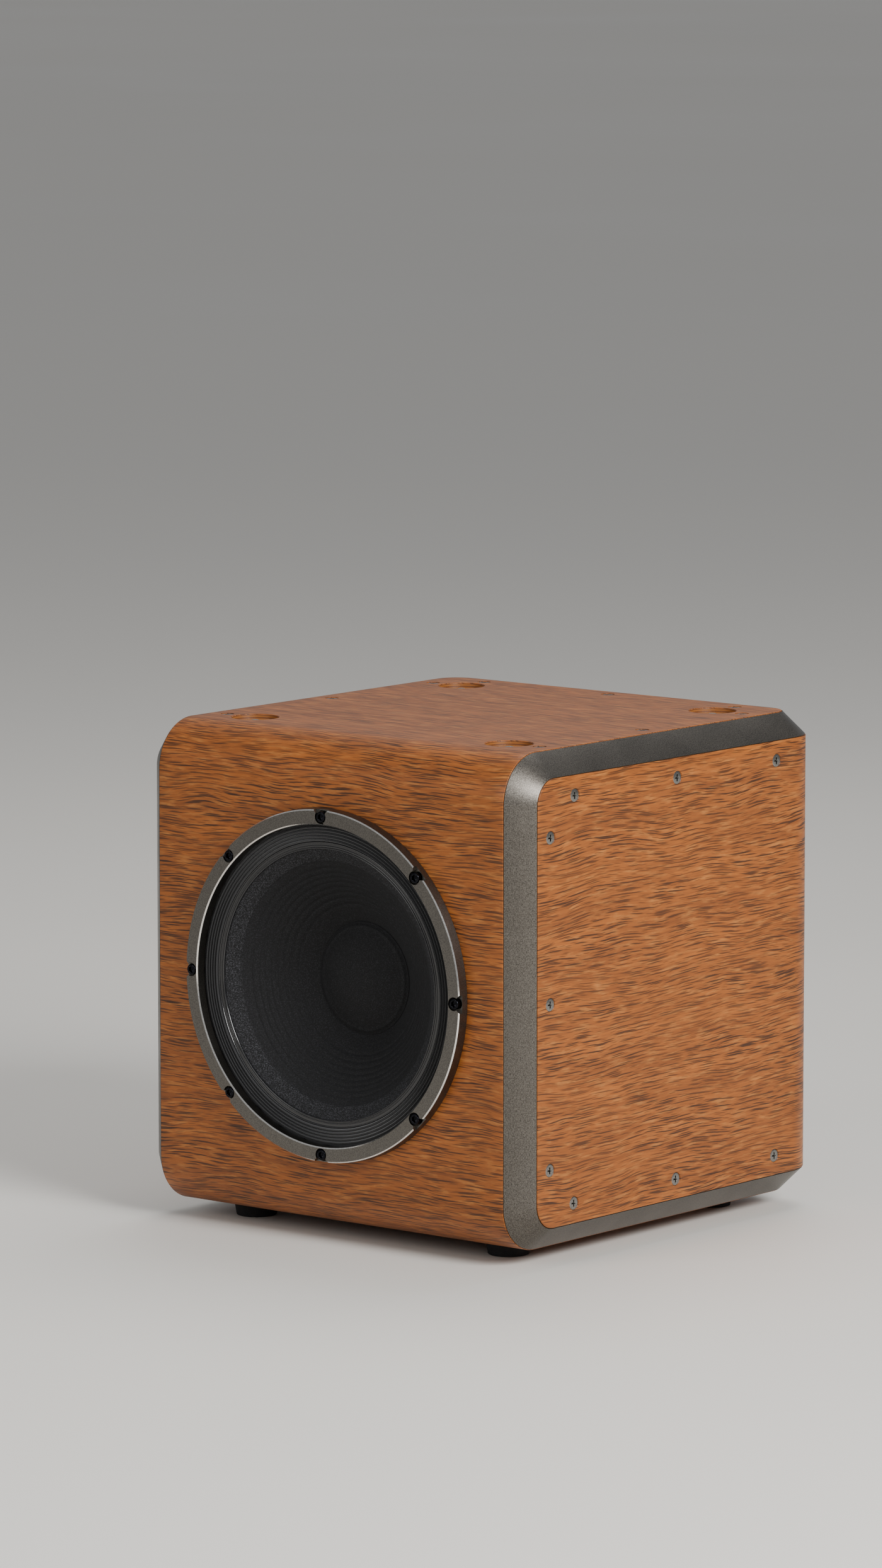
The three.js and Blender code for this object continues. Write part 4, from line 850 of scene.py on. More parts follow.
def seam_path():
    """The loop where the two shells' skins would meet, as points with the outward directions of the front
    shell's skin and of the rear shell's. A quarter of it runs up the front's right edge, round the front
    bend, back along the top, round the rear bend and along the rear to the middle; mirrors make the rest."""
    radius = sizes().corner_radius
    turn = np.linspace(0, np.pi / 2, 29)
    zero = np.zeros_like(turn)
    one = zero + 1
    straight = np.linspace(0, 1, 20)[:, None]

    def run(start, end, front_way, rear_way):
        points = np.array(start) * (1 - straight) + np.array(end) * straight
        return points, np.tile(front_way, (20, 1)), np.tile(rear_way, (20, 1))

    tall, deep, wide = HALF_HEIGHT - radius, REAR - radius, HALF_WIDTH - radius
    near = FRONT + radius
    front_bend = np.stack([zero, -np.cos(turn), np.sin(turn)], axis=1)
    rear_bend = np.stack([np.cos(turn), np.sin(turn), zero], axis=1)
    quarter = [
        run((HALF_WIDTH, FRONT, 0), (HALF_WIDTH, FRONT, tall), (0, -1, 0), (1, 0, 0)),
        ((HALF_WIDTH, near, tall) + radius * front_bend, front_bend, np.stack([one, zero, zero], axis=1)),
        run((HALF_WIDTH, near, HALF_HEIGHT), (HALF_WIDTH, deep, HALF_HEIGHT), (0, 0, 1), (1, 0, 0)),
        ((wide, deep, HALF_HEIGHT) + radius * rear_bend, np.stack([zero, zero, one], axis=1), rear_bend),
        run((wide, REAR, HALF_HEIGHT), (0, REAR, HALF_HEIGHT), (0, 0, 1), (0, 1, 0)),
    ]
    whole = [np.concatenate([quarter[0][i], *(part[i][1:] for part in quarter[1:])]) for i in range(3)]
    mirrors = [((1, 1, 1), 1), ((-1, 1, 1), -1), ((-1, 1, -1), 1), ((1, 1, -1), -1)]
    return [np.concatenate([(part * sign)[::way][:-1] for sign, way in mirrors]) for part in whole]


class SUBWOOFER_OT_seam_frame(bpy.types.Operator):
    """Adds the bevelled metal frame along the seam, with a flange behind each shell"""

    bl_idname = "subwoofer.seam_frame"
    bl_label = "Seam frame"

    def execute(self, context):
        size = sizes()
        lip = BEVEL_LEG - size.joint
        under = size.wall + size.joint
        flange = under + 4.2 * MM
        reach = size.corner_radius - 1 * MM
        half_section = [(size.joint, lip), (lip, size.joint)]
        section = half_section + [(lip, under), (reach, under), (reach, flange), (flange, flange)]
        section += [(flange, reach), (under, reach), (under, lip)]
        section = softened(section, 0.35 * MM, 3, loop=True)
        corner, front_way, rear_way = seam_path()
        rows = corner[:, None] - section[None, :, :1] * front_way[:, None]
        rows -= section[None, :, 1:] * rear_way[:, None]
        rows += np.array([0, 0, MIDDLE_UP])
        piece = linked("seam_frame", [(tube(rows, joined=True), "blasted_aluminium")])
        settle(piece, "cabinet", ["bevel_frame"], 40)
        return {"FINISHED"}


# ------------------------------------------------------------------ screws


def cross_outline(angles, arm, half):
    """The radius, at each angle, of a cross with arms of that length and half width."""
    folded = np.abs((angles + np.pi / 4) % (np.pi / 2) - np.pi / 4)
    return np.minimum(arm / np.cos(folded), half / np.maximum(np.sin(folded), 1e-6))


def cross_head(shank, shank_length, arm, half, recess, profile):
    """A screw with a tapered cross recess. `profile` is the head's (radius, height) rows from the shank
    up."""
    corner = math.atan2(half, arm)
    diagonal = math.pi / 4
    quarter = np.array([-corner, 0, corner, (corner + diagonal) / 2, diagonal, (3 * diagonal - corner) / 2])
    quarter = np.unique(np.round(quarter, 9))
    angles = (np.arange(4)[:, None] * np.pi / 2 + quarter).ravel()
    extra = np.arange(24) * np.pi / 12
    angles = np.unique(np.round(np.concatenate([angles % (2 * np.pi), extra]), 6))
    mouth = cross_outline(angles, arm, half)
    floor = cross_outline(angles, arm * 0.6, half * 0.62)
    level = profile[-1][1]
    radii = [shank * 0.6, shank, shank, *(r for r, _ in profile), mouth, mouth * 0.96, floor]
    heights = [-shank_length, -shank_length + shank * 0.6, profile[0][1], *(h for _, h in profile)]
    heights += [level, level - 0.15 * MM, level - recess]
    return rings(radii, heights, angles=angles)


def shell_screw():
    """An M6 countersunk screw: a 90 degree cone under a flat head with a rounded rim."""
    head, shank, sunk = SCREW["head"], SCREW["shank"], SCREW["sunk"]
    rim = 0.35 * MM
    profile = [
        (shank, -sunk - rim - head + shank),
        (head, -sunk - rim),
        (head, -sunk - rim * 0.4),
        (head - 0.12 * MM, -sunk - 0.08 * MM),
        (head - rim, -sunk),
    ]
    return cross_head(shank, SCREW["length"], 3.1 * MM, 0.75 * MM, 2.6 * MM, profile)


class SUBWOOFER_OT_shell_screws(bpy.types.Operator):
    """Adds the countersunk screws of each wing"""

    bl_idname = "subwoofer.shell_screws"
    bl_label = "Shell screws"

    def execute(self, context):
        screw = shell_screw()
        for facing in WINGS:
            places = edge_screws(facing)
            parts = [(placed(screw, at, facing), "plated_steel") for at in places]
            name = f"shell_screws_{facing}"
            settle(linked(f"{facing}_wing_screws", parts), "cabinet", [name])
        return {"FINISHED"}


# ------------------------------------------------------------------ driver


def on_driver(shape):
    """The shape on the driver's axis, its zero on the front face and its Z pointing out."""
    return placed(shape, (0, FRONT, MIDDLE_UP), "front")


def bolt_angles():
    """The angles of the driver's eight bolts round its axis."""
    return np.arange(8) * np.pi / 4


class SUBWOOFER_OT_trim_ring(bpy.types.Operator):
    """Adds the driver's trim ring: satin metal, chamfers painted bright as edge highlights, and a notch with
    a round seat at each bolt"""

    bl_idname = "subwoofer.trim_ring"
    bl_label = "Trim ring"

    def execute(self, context):
        size = driver()
        inner, outer, face, cut = size.inner_radius, RING_RADIUS, RING_FACE, size.chamfer
        drafted = outer - 0.75 * MM
        back = 0.3 * MM
        bands = [
            ([(outer, back), (drafted, face - cut)], "satin_aluminium"),
            ([(drafted, face - cut), (drafted - cut, face)], "cut_aluminium"),
            ([(drafted - cut, face), (inner + cut, face)], "satin_aluminium"),
            ([(inner + cut, face), (inner, face - cut)], "cut_aluminium"),
            ([(inner, face - cut), (inner, back)], "satin_aluminium"),
            ([(inner, back), (outer, back)], "satin_aluminium"),
        ]
        line = np.array([band[0][0] for band in bands])
        segments = 256
        shape = rings(line[:, 0], line[:, 1], segments, joined=True)
        piece = linked("driver_trim_ring", [(on_driver(shape), "satin_aluminium")])
        # The chamfer bands take the light finish: a painted highlight along the ring's edges.
        piece.data.materials.append(finished("cut_aluminium"))
        bright = np.repeat([finish == "cut_aluminium" for _, finish in bands], segments)
        piece.data.polygons.foreach_set("material_index", bright.astype(int))
        seats, wedges, clear = [], [], []
        for angle in bolt_angles():
            way = np.array([math.cos(angle), math.sin(angle), 0])
            across = np.array([-way[1], way[0], 0])
            seat = rings([size.bore_radius] * 2, [BOLT_PROUD - 6.3 * MM, face + 2 * MM], 48)
            seats.append(on_driver(shifted(seat, *(way * BOLT_CIRCLE))))
            hole = rings([3.4 * MM] * 2, [-1 * MM, face], 32)
            clear.append(on_driver(shifted(hole, *(way * BOLT_CIRCLE))))
            apex = way * (outer - size.notch_reach)
            far = size.notch_reach + 3 * MM
            corners = [apex, apex + (way - across) * far, apex + (way + across) * far]
            levels = [face - size.notch_depth, face + 2 * MM]
            rows = np.array([[corner + np.array([0, 0, z]) for corner in corners] for z in levels])
            wedges.append(on_driver(tube(rows)))
        bored(piece, seats)
        bored(piece, wedges)
        bored(piece, clear)
        # The 0.3 mm bevels on every sharp edge take the same light finish, a painted highlight along each
        # edge of the notches, seats and holes.
        bevel = piece.modifiers.new("edges", "BEVEL")
        bevel.width, bevel.segments, bevel.limit_method = 0.3 * MM, 2, "ANGLE"
        bevel.angle_limit, bevel.material, bevel.use_clamp_overlap = math.radians(60), 1, True
        applied(piece)
        settle(piece, "cabinet", ["trim_ring"], 25)
        return {"FINISHED"}


def socket_screw(radius, head, shank, total, key):
    """A socket cap screw: a knurled head, chamfered above, with a hexagon socket; its top is at height 0."""
    segments = 120
    angles = np.linspace(0, 2 * np.pi, segments, endpoint=False)
    knurl = 0.12 * MM * np.clip(np.cos(30 * angles) * 2, -1, 1)
    hexagon = key / np.cos((angles + np.pi / 6) % (np.pi / 3) - np.pi / 6)
    chamfer = 0.5 * MM
    radii = [shank * 0.7, shank, shank, radius - chamfer, radius, radius - knurl * 0.5 - 0.06 * MM]
    heights = [-total, -total + shank * 0.4, -head, -head, -head + chamfer * 0.5, -head + chamfer]
    radii += [radius - 0.06 * MM - knurl * 0.5, radius - 0.1 * MM, radius - 0.35 * MM, radius - 0.8 * MM]
    heights += [-1.1 * MM, -0.7 * MM, -0.25 * MM, 0.0]
    radii += [hexagon + 0.25 * MM, hexagon, hexagon, hexagon * 0.5]
    heights += [0.0, -0.2 * MM, -head * 0.55, -head * 0.65]
    return rings(radii, heights, angles=angles)


class SUBWOOFER_OT_driver_bolts(bpy.types.Operator):
    """Adds the eight black socket screws that hold the driver and its trim ring"""

    bl_idname = "subwoofer.driver_bolts"
    bl_label = "Driver bolts"

    def execute(self, context):
        screw = socket_screw(BOLT_HEAD_RADIUS, 6 * MM, 3 * MM, 28 * MM, 2.5 * MM)
        for number, angle in enumerate(bolt_angles(), 1):
            x, y = BOLT_CIRCLE * math.cos(angle), BOLT_CIRCLE * math.sin(angle)
            shape = on_driver(shifted(screw, x, y, BOLT_PROUD))
            piece = linked(f"ring_screw_{number}", [(shape, "black_oxide_steel")])
            settle(piece, "cabinet", [f"driver_bolt_{number}"], 40)
        return {"FINISHED"}


SURROUND = {"rim": 141.6 * MM, "outer": 140 * MM, "inner": 126 * MM, "lip": 119.6 * MM, "cloth": 0.8 * MM}
COATED_RADIUS = 126.4 * MM


def surround_profile():
    """Radii and heights of the surround's front: a flat glued rim, pleats as a raised cosine, then a flat lip
    with three round beads of damping compound."""
    size = driver()
    rim, outer, inner, lip = (SURROUND[k] for k in ("rim", "outer", "inner", "lip"))
    stations = [
        np.linspace(rim, outer, 4)[:-1],
        np.linspace(outer, inner, 90),
        np.linspace(inner, lip, 56)[1:],
    ]
    radius = np.concatenate(stations)
    share = np.clip((outer - radius) / (outer - inner), 0, 1)
    height = size.pleat_rise * (1 - np.cos(2 * np.pi * size.pleats * share)) / 2
    for centre, high in ((125.4 * MM, 0.9 * MM), (122.2 * MM, 0.55 * MM), (120.3 * MM, 0.7 * MM)):
        height += high * np.sqrt(np.clip(1 - ((radius - centre) / (0.62 * MM)) ** 2, 0, 1))
    return radius, height - 0.3 * MM


def add_gores(name, node, profile, cloth, finish, bends, compound=0.0):
    """Adds a ring of cloth as equal gores from the basket to the cone; of the two radii `bends`, the second
    sets the spacing of the threads round the ring. `profile` is the radii and heights of its front. Inside
    the radius `compound` it is coated."""
    radius, height = profile
    count, columns = driver().sectors, 9
    width = 2 * np.pi / count
    run = np.cumsum(np.hypot(np.diff(radius, prepend=radius[0]), np.diff(height, prepend=height[0])))
    for number in range(count):
        angles = (number + np.linspace(0, 1, columns)) * width
        level = np.broadcast_to(height[:, None], (len(radius), columns))
        front = np.stack([radius[:, None] * np.cos(angles), radius[:, None] * np.sin(angles), level], axis=2)
        loop = np.concatenate([front, (front - np.array([0, 0, cloth]))[::-1]])
        piece = linked(f"{name}_gore_{number + 1:02d}", [(on_driver(tube(loop.transpose(1, 0, 2))), finish)])
        around = np.tile(angles[:, None] * bends[1], (1, len(loop)))
        along = np.tile(np.concatenate([run, run[::-1]]), (columns, 1))
        threads = np.stack([around, along, np.zeros_like(along)], axis=2)
        add_vectors(piece.data, "weave", threads.reshape(-1, 3))
        if compound:
            piece.data.materials.append(finished("damping_compound"))
            numbers = np.zeros(len(piece.data.polygons), int)
            coated = np.concatenate([radius, radius[::-1]]) < compound
            numbers[: (columns - 1) * len(loop)] = np.tile(coated, columns - 1)
            piece.data.polygons.foreach_set("material_index", numbers)
        settle(piece, None, [node] if number == 0 else (), 60)
        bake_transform(piece)


class SUBWOOFER_OT_surround(bpy.types.Operator):
    """Adds the pleated cloth surround between the basket's rim and the cone"""

    bl_idname = "subwoofer.surround"
    bl_label = "Surround"

    def execute(self, context):
        bends = (SURROUND["outer"] + 0.6 * MM, SURROUND["inner"])
        profile = surround_profile()
        add_gores("surround", "surround", profile, SURROUND["cloth"], "treated_cloth", bends, COATED_RADIUS)
        return {"FINISHED"}


SPIDER = {"folds": 5, "rise": 1.9 * MM, "rim": 10 * MM, "collar": 44 * MM, "cloth": 0.7 * MM}


class SUBWOOFER_OT_spider(bpy.types.Operator):
    """Adds the corrugated cloth spider that centres the coil: flat rim and collar, a raised cosine between"""

    bl_idname = "subwoofer.spider"
    bl_label = "Spider"

    def execute(self, context):
        outer, collar = side("spider", "x"), SPIDER["collar"]
        fold_outer = outer - SPIDER["rim"]
        former_clear = side("voice_coil", "x") + 0.35 * MM
        radius = np.concatenate([
            np.linspace(outer, fold_outer, 4)[:-1],
            np.linspace(fold_outer, collar, 81),
            np.linspace(collar, former_clear, 4)[1:],
        ])
        share = np.clip((fold_outer - radius) / (fold_outer - collar), 0, 1)
        flat = FRONT - side("spider", "y") + SPIDER["cloth"] + 0.05 * MM
        height = flat + SPIDER["rise"] * (1 - np.cos(2 * np.pi * SPIDER["folds"] * share)) / 2
        profile = (radius, height)
        add_gores("spider", "spider", profile, SPIDER["cloth"], "resin_cotton", (fold_outer, collar))
        return {"FINISHED"}


CONE = {
    "rim": 125.2 * MM,
    "edge": 119.4 * MM,
    "step": 108 * MM,
    "neck": 38.6 * MM,
    "slope": 0.7,
    "wall": 1.6 * MM,
}
GROOVES = (101, 96, 91.8, 87.4, 82.6, 77.8, 72.6, 66.8)


def cone_depth(radius):
    """How far the cone's front lies behind the front face: a straight fall inward from its flat rim, steeper
    by a slow parabola, with one fine step and shallow round grooves."""
    fall = CONE["slope"] * np.maximum(CONE["edge"] - radius, 0)
    step = 0.8 * MM / (1 + np.exp((radius - CONE["step"]) / (0.12 * MM)))
    grooves = sum(0.75 * MM * np.exp(-(((radius - g * MM) / (1.05 * MM)) ** 2)) for g in GROOVES)
    return 1.45 * MM + fall + step + grooves


class SUBWOOFER_OT_cone(bpy.types.Operator):
    """Adds the paper cone with its step and grooves, and the dust cap"""

    bl_idname = "subwoofer.cone"
    bl_label = "Cone and dust cap"

    def execute(self, context):
        fine = np.linspace(CONE["step"] + 1.5 * MM, CONE["step"] - 1.5 * MM, 26)
        radius = np.concatenate([
            np.linspace(CONE["rim"], CONE["edge"], 5),
            np.linspace(CONE["edge"], fine[0], 12)[1:-1],
            fine,
            np.linspace(fine[-1], 62 * MM, 150)[1:],
            np.linspace(62 * MM, CONE["neck"], 20)[1:],
        ])
        depth = cone_depth(radius)
        back_radius = np.linspace(CONE["neck"], CONE["rim"], 40)
        back_depth = 1.45 * MM + CONE["slope"] * np.maximum(CONE["edge"] - back_radius, 0) + 2.4 * MM
        back_depth -= 0.8 * MM * (back_radius > CONE["edge"])
        radii = np.concatenate([radius, back_radius])
        heights = -np.concatenate([depth, back_depth])
        cone = linked("driver_cone", [(on_driver(rings(radii, heights, 144, joined=True)), "pulp_paper")])
        settle(cone, "cone_assembly", ["cone"], 50)
        reach = side("dust_cap", "x")
        rim = cone_depth(np.array([reach]))[0] - 0.5 * MM
        rise = 13 * MM
        share = np.concatenate([np.linspace(0.01, 0.93, 40), np.linspace(0.94, 1.0, 8)])
        bulge = rise * (1 - share**2) + 0.7 * MM * np.exp(-(((share - 0.93) / 0.025) ** 2))
        outer = [(reach * s, -rim + b) for s, b in zip(share, bulge)]
        inner = [(reach * s * 0.975, -rim + rise * (1 - s**2) - 1.2 * MM) for s in share[::-6]]
        line = np.array(outer + inner)
        cap = linked("driver_dust_cap", [(on_driver(rings(line[:, 0], line[:, 1], 128)), "pulp_paper")])
        settle(cap, "cone_assembly", ["dust_cap"], 50)
        return {"FINISHED"}


# ------------------------------------------------------------------ feet and cups


class SUBWOOFER_OT_feet(bpy.types.Operator):
    """Adds the rubber feet with their screws, and the steel studs in the stacking cups"""

    bl_idname = "subwoofer.feet"
    bl_label = "Feet and cup studs"

    def execute(self, context):
        top, tread = 20 * MM, 18 * MM
        well, hole = 6.5 * MM, 2.8 * MM
        foot = [(hole, -0.3 * MM), (top, -0.3 * MM), (top, -2.2 * MM), (tread, -BOTTOM), (15.5 * MM, -BOTTOM)]
        foot += [(15.2 * MM, 0.8 * MM - BOTTOM), (13.6 * MM, 0.8 * MM - BOTTOM), (13.3 * MM, -BOTTOM)]
        foot += [(well + 1 * MM, -BOTTOM), (well, 1 * MM - BOTTOM)]
        foot += [(well, 7 * MM - BOTTOM), (hole, 7 * MM - BOTTOM)]
        foot_shape = lathe([(r, -h) for r, h in foot], 0.9 * MM, 96, joined=True)
        pan = [(2.5 * MM, 0.0), (5.4 * MM, 0.1 * MM), (5.4 * MM, 0.9 * MM)]
        pan += [(4.9 * MM, 2.1 * MM), (3.6 * MM, 2.7 * MM)]
        foot_screw = cross_head(2.5 * MM, 19 * MM, 2.6 * MM, 0.65 * MM, 1.9 * MM, pan)
        share = np.linspace(0.02, 1, 14)
        rise = 2.7 * MM
        dome = [(5 * MM * s, rise / 3 + rise / 1.5 * math.sqrt(1 - s**2)) for s in share]
        shank = [(5 * MM, 0.1 * MM), (4.9 * MM, 0.0), (3 * MM, 0.0), (3 * MM, -12 * MM)]
        line = np.array(dome + shank)
        stud = rings(line[:, 0], line[:, 1], 72)
        for name, x, y in foot_places():
            shape = placed(foot_shape, (x, y, BOTTOM), "bottom")
            piece = linked(f"rubber_foot_{name}", [(shape, "moulded_rubber")])
            settle(piece, "cabinet", ["foot_" + name], 40)
            at = (x, y, 7 * MM - 0.3 * MM)
            piece = linked(f"pan_screw_{name}", [(placed(foot_screw, at, "bottom"), "plated_steel")])
            settle(piece, "cabinet", ["foot_screw_" + name])
            at = (x, y, side("cup_stud_" + name, "z") - rise)
            piece = linked(f"domed_stud_{name}", [(placed(stud, at, "top"), "nickel_plate")])
            settle(piece, "cabinet", ["cup_stud_" + name])
        return {"FINISHED"}


# ------------------------------------------------------------------ amplifier plate


def on_rear(shape, x=0.0, z=0.0, out=0.0):
    """The shape on the rear face, its Z pointing out and `out` above the face."""
    return placed(shape, (x, REAR + out, z), "rear")


def plate_screw():
    """An M4 pan-head screw whose underside is at height 0."""
    pan = [(2 * MM, 0.0), (3.7 * MM, 0.05 * MM), (3.8 * MM, 0.7 * MM)]
    pan += [(3.4 * MM, 1.7 * MM), (2.6 * MM, 2.2 * MM)]
    return cross_head(2 * MM, 12 * MM, 2 * MM, 0.5 * MM, 1.5 * MM, pan)


class SUBWOOFER_OT_amp_plate(bpy.types.Operator):
    """Adds the amplifier's plate with its openings, its screws and the printed dial marks"""

    bl_idname = "subwoofer.amp_plate"
    bl_label = "Amplifier plate"

    def execute(self, context):
        width = 2 * side("amp_plate", "x")
        low, high = side("amp_plate", "z", False), side("amp_plate", "z")
        centre = (low + high) / 2
        plate = slab(width, high - low, 8 * MM, -3 * MM, 0.0, 0.4 * MM, 12)
        piece = linked("amplifier_plate", [(on_rear(plate, 0, centre), "powder_coat")])
        tools = []
        for knob in ("gain_knob", "crossover_knob"):
            bush = rings([3.9 * MM] * 2, [-5 * MM, 2 * MM], 48)
            tools.append(on_rear(bush, middle(knob, "x"), middle(knob, "z")))
        for node, margin in (("phase_switch", -2), ("power_switch", -1.7), ("mains_inlet", -9)):
            x_size = side(node, "x") - side(node, "x", False) + 2 * margin * MM
            extra = 2 * margin + (12 if margin == -9 else 0)
            z_size = side(node, "z") - side(node, "z", False) + extra * MM
            opening = slab(x_size, z_size, 1 * MM, -5 * MM, 2 * MM, 0.05 * MM)
            tools.append(on_rear(opening, middle(node, "x"), middle(node, "z")))
        for node in ("input_left", "input_right"):
            barrel = rings([11.9 * MM] * 2, [-5 * MM, 2 * MM], 64)
            tools.append(on_rear(barrel, middle(node, "x"), middle(node, "z")))
        bored(piece, tools)
        settle(piece, "cabinet", ["amp_plate"])
        inset = 6.5 * MM
        x_edge, z_edge = width / 2 - inset, (high - low) / 2 - inset
        spots = [(x, z) for x in (-x_edge, 0, x_edge) for z in (-z_edge, 0, z_edge) if x or z]
        parts = [(on_rear(plate_screw(), x, centre + z), "black_oxide_steel") for x, z in spots]
        settle(linked("plate_screws", parts), "cabinet")
        marks = []
        tick = slab(0.5 * MM, 2.2 * MM, 0.1 * MM, 0.0, 0.08 * MM, 0.02 * MM, 2)
        for knob in ("gain_knob", "crossover_knob"):
            for angle in np.radians(np.arange(-150, 151, 30)):
                turn = np.array(Matrix.Rotation(-angle, 3, "Z"))
                ray = (shifted(tick, 0, 12.4 * MM)[0] @ turn.T, tick[1])
                marks.append((on_rear(ray, middle(knob, "x"), middle(knob, "z")), "white_ink"))
        settle(linked("dial_marks", marks), "cabinet")
        return {"FINISHED"}


class SUBWOOFER_OT_heatsink(bpy.types.Operator):
    """Adds the extruded heatsink: a base with tapered, round-tipped fins"""

    bl_idname = "subwoofer.heatsink"
    bl_label = "Heatsink"

    def execute(self, context):
        low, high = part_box("heatsink")
        count, base = 9, 3 * MM
        width, proud = high.x - low.x, high.y - REAR
        root, tip = 1.5 * MM, 0.95 * MM
        start = 0.3 * MM
        pitch = (width - 2 * root) / (count - 1)
        outline = [(width / 2, start), (-width / 2, start)]
        for number in range(count):
            x = -width / 2 + root + number * pitch
            outline += [(x - root, start + base), (x - tip, proud - tip), (x - tip * 0.6, proud - 0.2 * MM)]
            outline += [(x + tip * 0.6, proud - 0.2 * MM), (x + tip, proud - tip), (x + root, start + base)]
        outline = softened(outline, 0.5 * MM, 3, loop=True)
        across, out = outline.T
        rows = [np.column_stack([across, np.full(len(across), z), out]) for z in (low.z, high.z)]
        shape = tube(np.stack(rows))
        piece = linked("finned_heatsink", [(placed(shape, (0, REAR, 0), "rear"), "anodised_extrusion")])
        settle(piece, "cabinet", ["heatsink"], 40)
        return {"FINISHED"}


def knob_shape():
    """A fluted knob: twenty-four grooves round a slightly tapered body, a dished top and a spindle below."""
    segments = 192
    angles = np.linspace(0, 2 * np.pi, segments, endpoint=False)
    flute = 0.28 * MM * (1 - np.abs(np.sin(12 * angles)))
    radii = [1.8 * MM, 2 * MM, 2 * MM, 7.9 * MM, 8.4 * MM, 8.45 * MM - flute, 7.5 * MM - flute]
    heights = [-8.8 * MM, -8.4 * MM, 0.0, 0.0, 0.3 * MM, 1.6 * MM, 7.6 * MM]
    radii += [7.25 * MM, 6.9 * MM, 6.3 * MM, 5.6 * MM, 3 * MM]
    heights += [8.4 * MM, 8.75 * MM, 8.9 * MM, 8.6 * MM, 8.35 * MM]
    return rings(radii, heights, angles=angles)


class SUBWOOFER_OT_controls(bpy.types.Operator):
    """Adds the knobs, the phase switch's lever and nut, and the power switch's bezel and rocker"""

    bl_idname = "subwoofer.controls"
    bl_label = "Controls"

    def execute(self, context):
        out = 0.45 * MM
        for knob, body in (("gain_knob", "gain_control"), ("crossover_knob", "crossover_control")):
            x, z = middle(knob, "x"), middle(knob, "z")
            pointer = shifted(slab(0.9 * MM, 5.4 * MM, 0.2 * MM, 8.3 * MM, 8.95 * MM, 0.05 * MM), 0, 4.2 * MM)
            parts = [(on_rear(knob_shape(), x, z, out), "moulded_plastic")]
            parts += [(on_rear(pointer, x, z, out), "white_ink")]
            settle(linked(f"fluted_{knob}", parts), body, [knob])
        self.phase()
        self.power()
        return {"FINISHED"}

    def phase(self):
        """A tapered bat lever in a hexagon nut. It leans 12 degrees down at rest."""
        pivot = (middle("phase_switch", "x"), REAR - 6 * MM, middle("phase_switch", "z"))
        bat = [(1.2, -1.5), (1.5, -1.1), (1.35, 1), (1.2, 6)]
        bat += [(1.45, 8.6), (1.9, 10.6), (1.75, 11.5), (1.0, 12.1)]
        line = softened(bat, 0.5, 3) * MM
        points, faces = rings(line[:, 0], line[:, 1], 40)
        lean = math.radians(12)
        cosine, sine = math.cos(lean), math.sin(lean)
        turned = np.array([(1, 0, 0), (0, cosine, sine), (0, -sine, cosine)])
        lever = placed((points @ turned.T, faces), pivot, "rear")
        rest = side("phase_lever", "z", False)
        if abs(lever[0][:, 2].min() - rest) > 1 * MM:
            lever = placed((points @ turned, faces), pivot, "rear")
        bat_lever = linked("phase_bat_lever", [(lever, "nickel_plate")])
        settle(bat_lever, "phase_control", ["phase_lever"])
        angles = np.linspace(0, 2 * np.pi, 72, endpoint=False)
        hexagon = 4.6 * MM / np.cos((angles + np.pi / 6) % (np.pi / 3) - np.pi / 6)
        crown = np.minimum(hexagon, 5.0 * MM)
        radii = [hexagon, hexagon, crown - 0.15 * MM, 4.2 * MM, 3.7 * MM, 3.5 * MM, 3.5 * MM]
        heights = [h * MM for h in (0.05, 1.5, 1.9, 2.0, 2.5, 2.3, 0.05)]
        nut = rings(radii, heights, angles=angles, joined=True)
        piece = linked("phase_nut", [(on_rear(nut, pivot[0], pivot[2]), "nickel_plate")])
        settle(piece, "cabinet")

    def power(self):
        """A bezel with a well, and a rocker that is a shallow V across its pivot."""
        x, z = middle("power_switch", "x"), middle("power_switch", "z")
        x_size = side("power_switch", "x") - side("power_switch", "x", False)
        z_size = side("power_switch", "z") - side("power_switch", "z", False)
        bezel = slab(x_size, z_size, 1.6 * MM, 0.3 * MM, 1.5 * MM, 0.35 * MM)
        body = slab(x_size - 4 * MM, z_size - 4 * MM, 1 * MM, -17 * MM, 0.25 * MM, 0.1 * MM)
        well = slab(x_size - 7.2 * MM, z_size - 7.2 * MM, 0.6 * MM, -9 * MM, 4 * MM, 0.05 * MM)
        parts = [(on_rear(bezel, x, z), "moulded_plastic"), (on_rear(body, x, z), "moulded_plastic")]
        piece = linked("power_switch_housing", parts)
        bored(piece, [on_rear(well, x, z)])
        settle(piece, "cabinet", ["power_switch"])
        half, swing = 5.45 * MM, math.radians(9)
        lift = half * math.tan(swing)
        section = [(-half + 0.4 * MM, -1 * MM), (half - 0.4 * MM, -1 * MM)]
        section += [(half - 0.2 * MM, 1.6 * MM + lift)]
        section += [(0, 1.6 * MM), (-half + 0.2 * MM, 1.6 * MM + lift)]
        section = softened(section, 0.5 * MM, 4, loop=True)
        turn = np.array([(math.cos(swing), -math.sin(swing)), (math.sin(swing), math.cos(swing))])
        width = side("power_rocker", "x") - side("power_rocker", "x", False)
        candidates = []
        for matrix in (turn, turn.T):
            up, out = (section @ matrix.T).T
            rows = [np.column_stack([np.full(len(up), s), up, out]) for s in (-width / 2, width / 2)]
            candidates.append(placed(tube(np.stack(rows)), (x, REAR - 2 * MM, z), "rear"))
        low, high = (np.array(corner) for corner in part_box("power_rocker"))
        errors = [np.abs(c[0].min(0) - low).sum() + np.abs(c[0].max(0) - high).sum() for c in candidates]
        rocker = candidates[int(np.argmin(errors))]
        piece = linked("power_rocker_key", [(rocker, "moulded_plastic")])
        settle(piece, "power_control", ["power_rocker"])


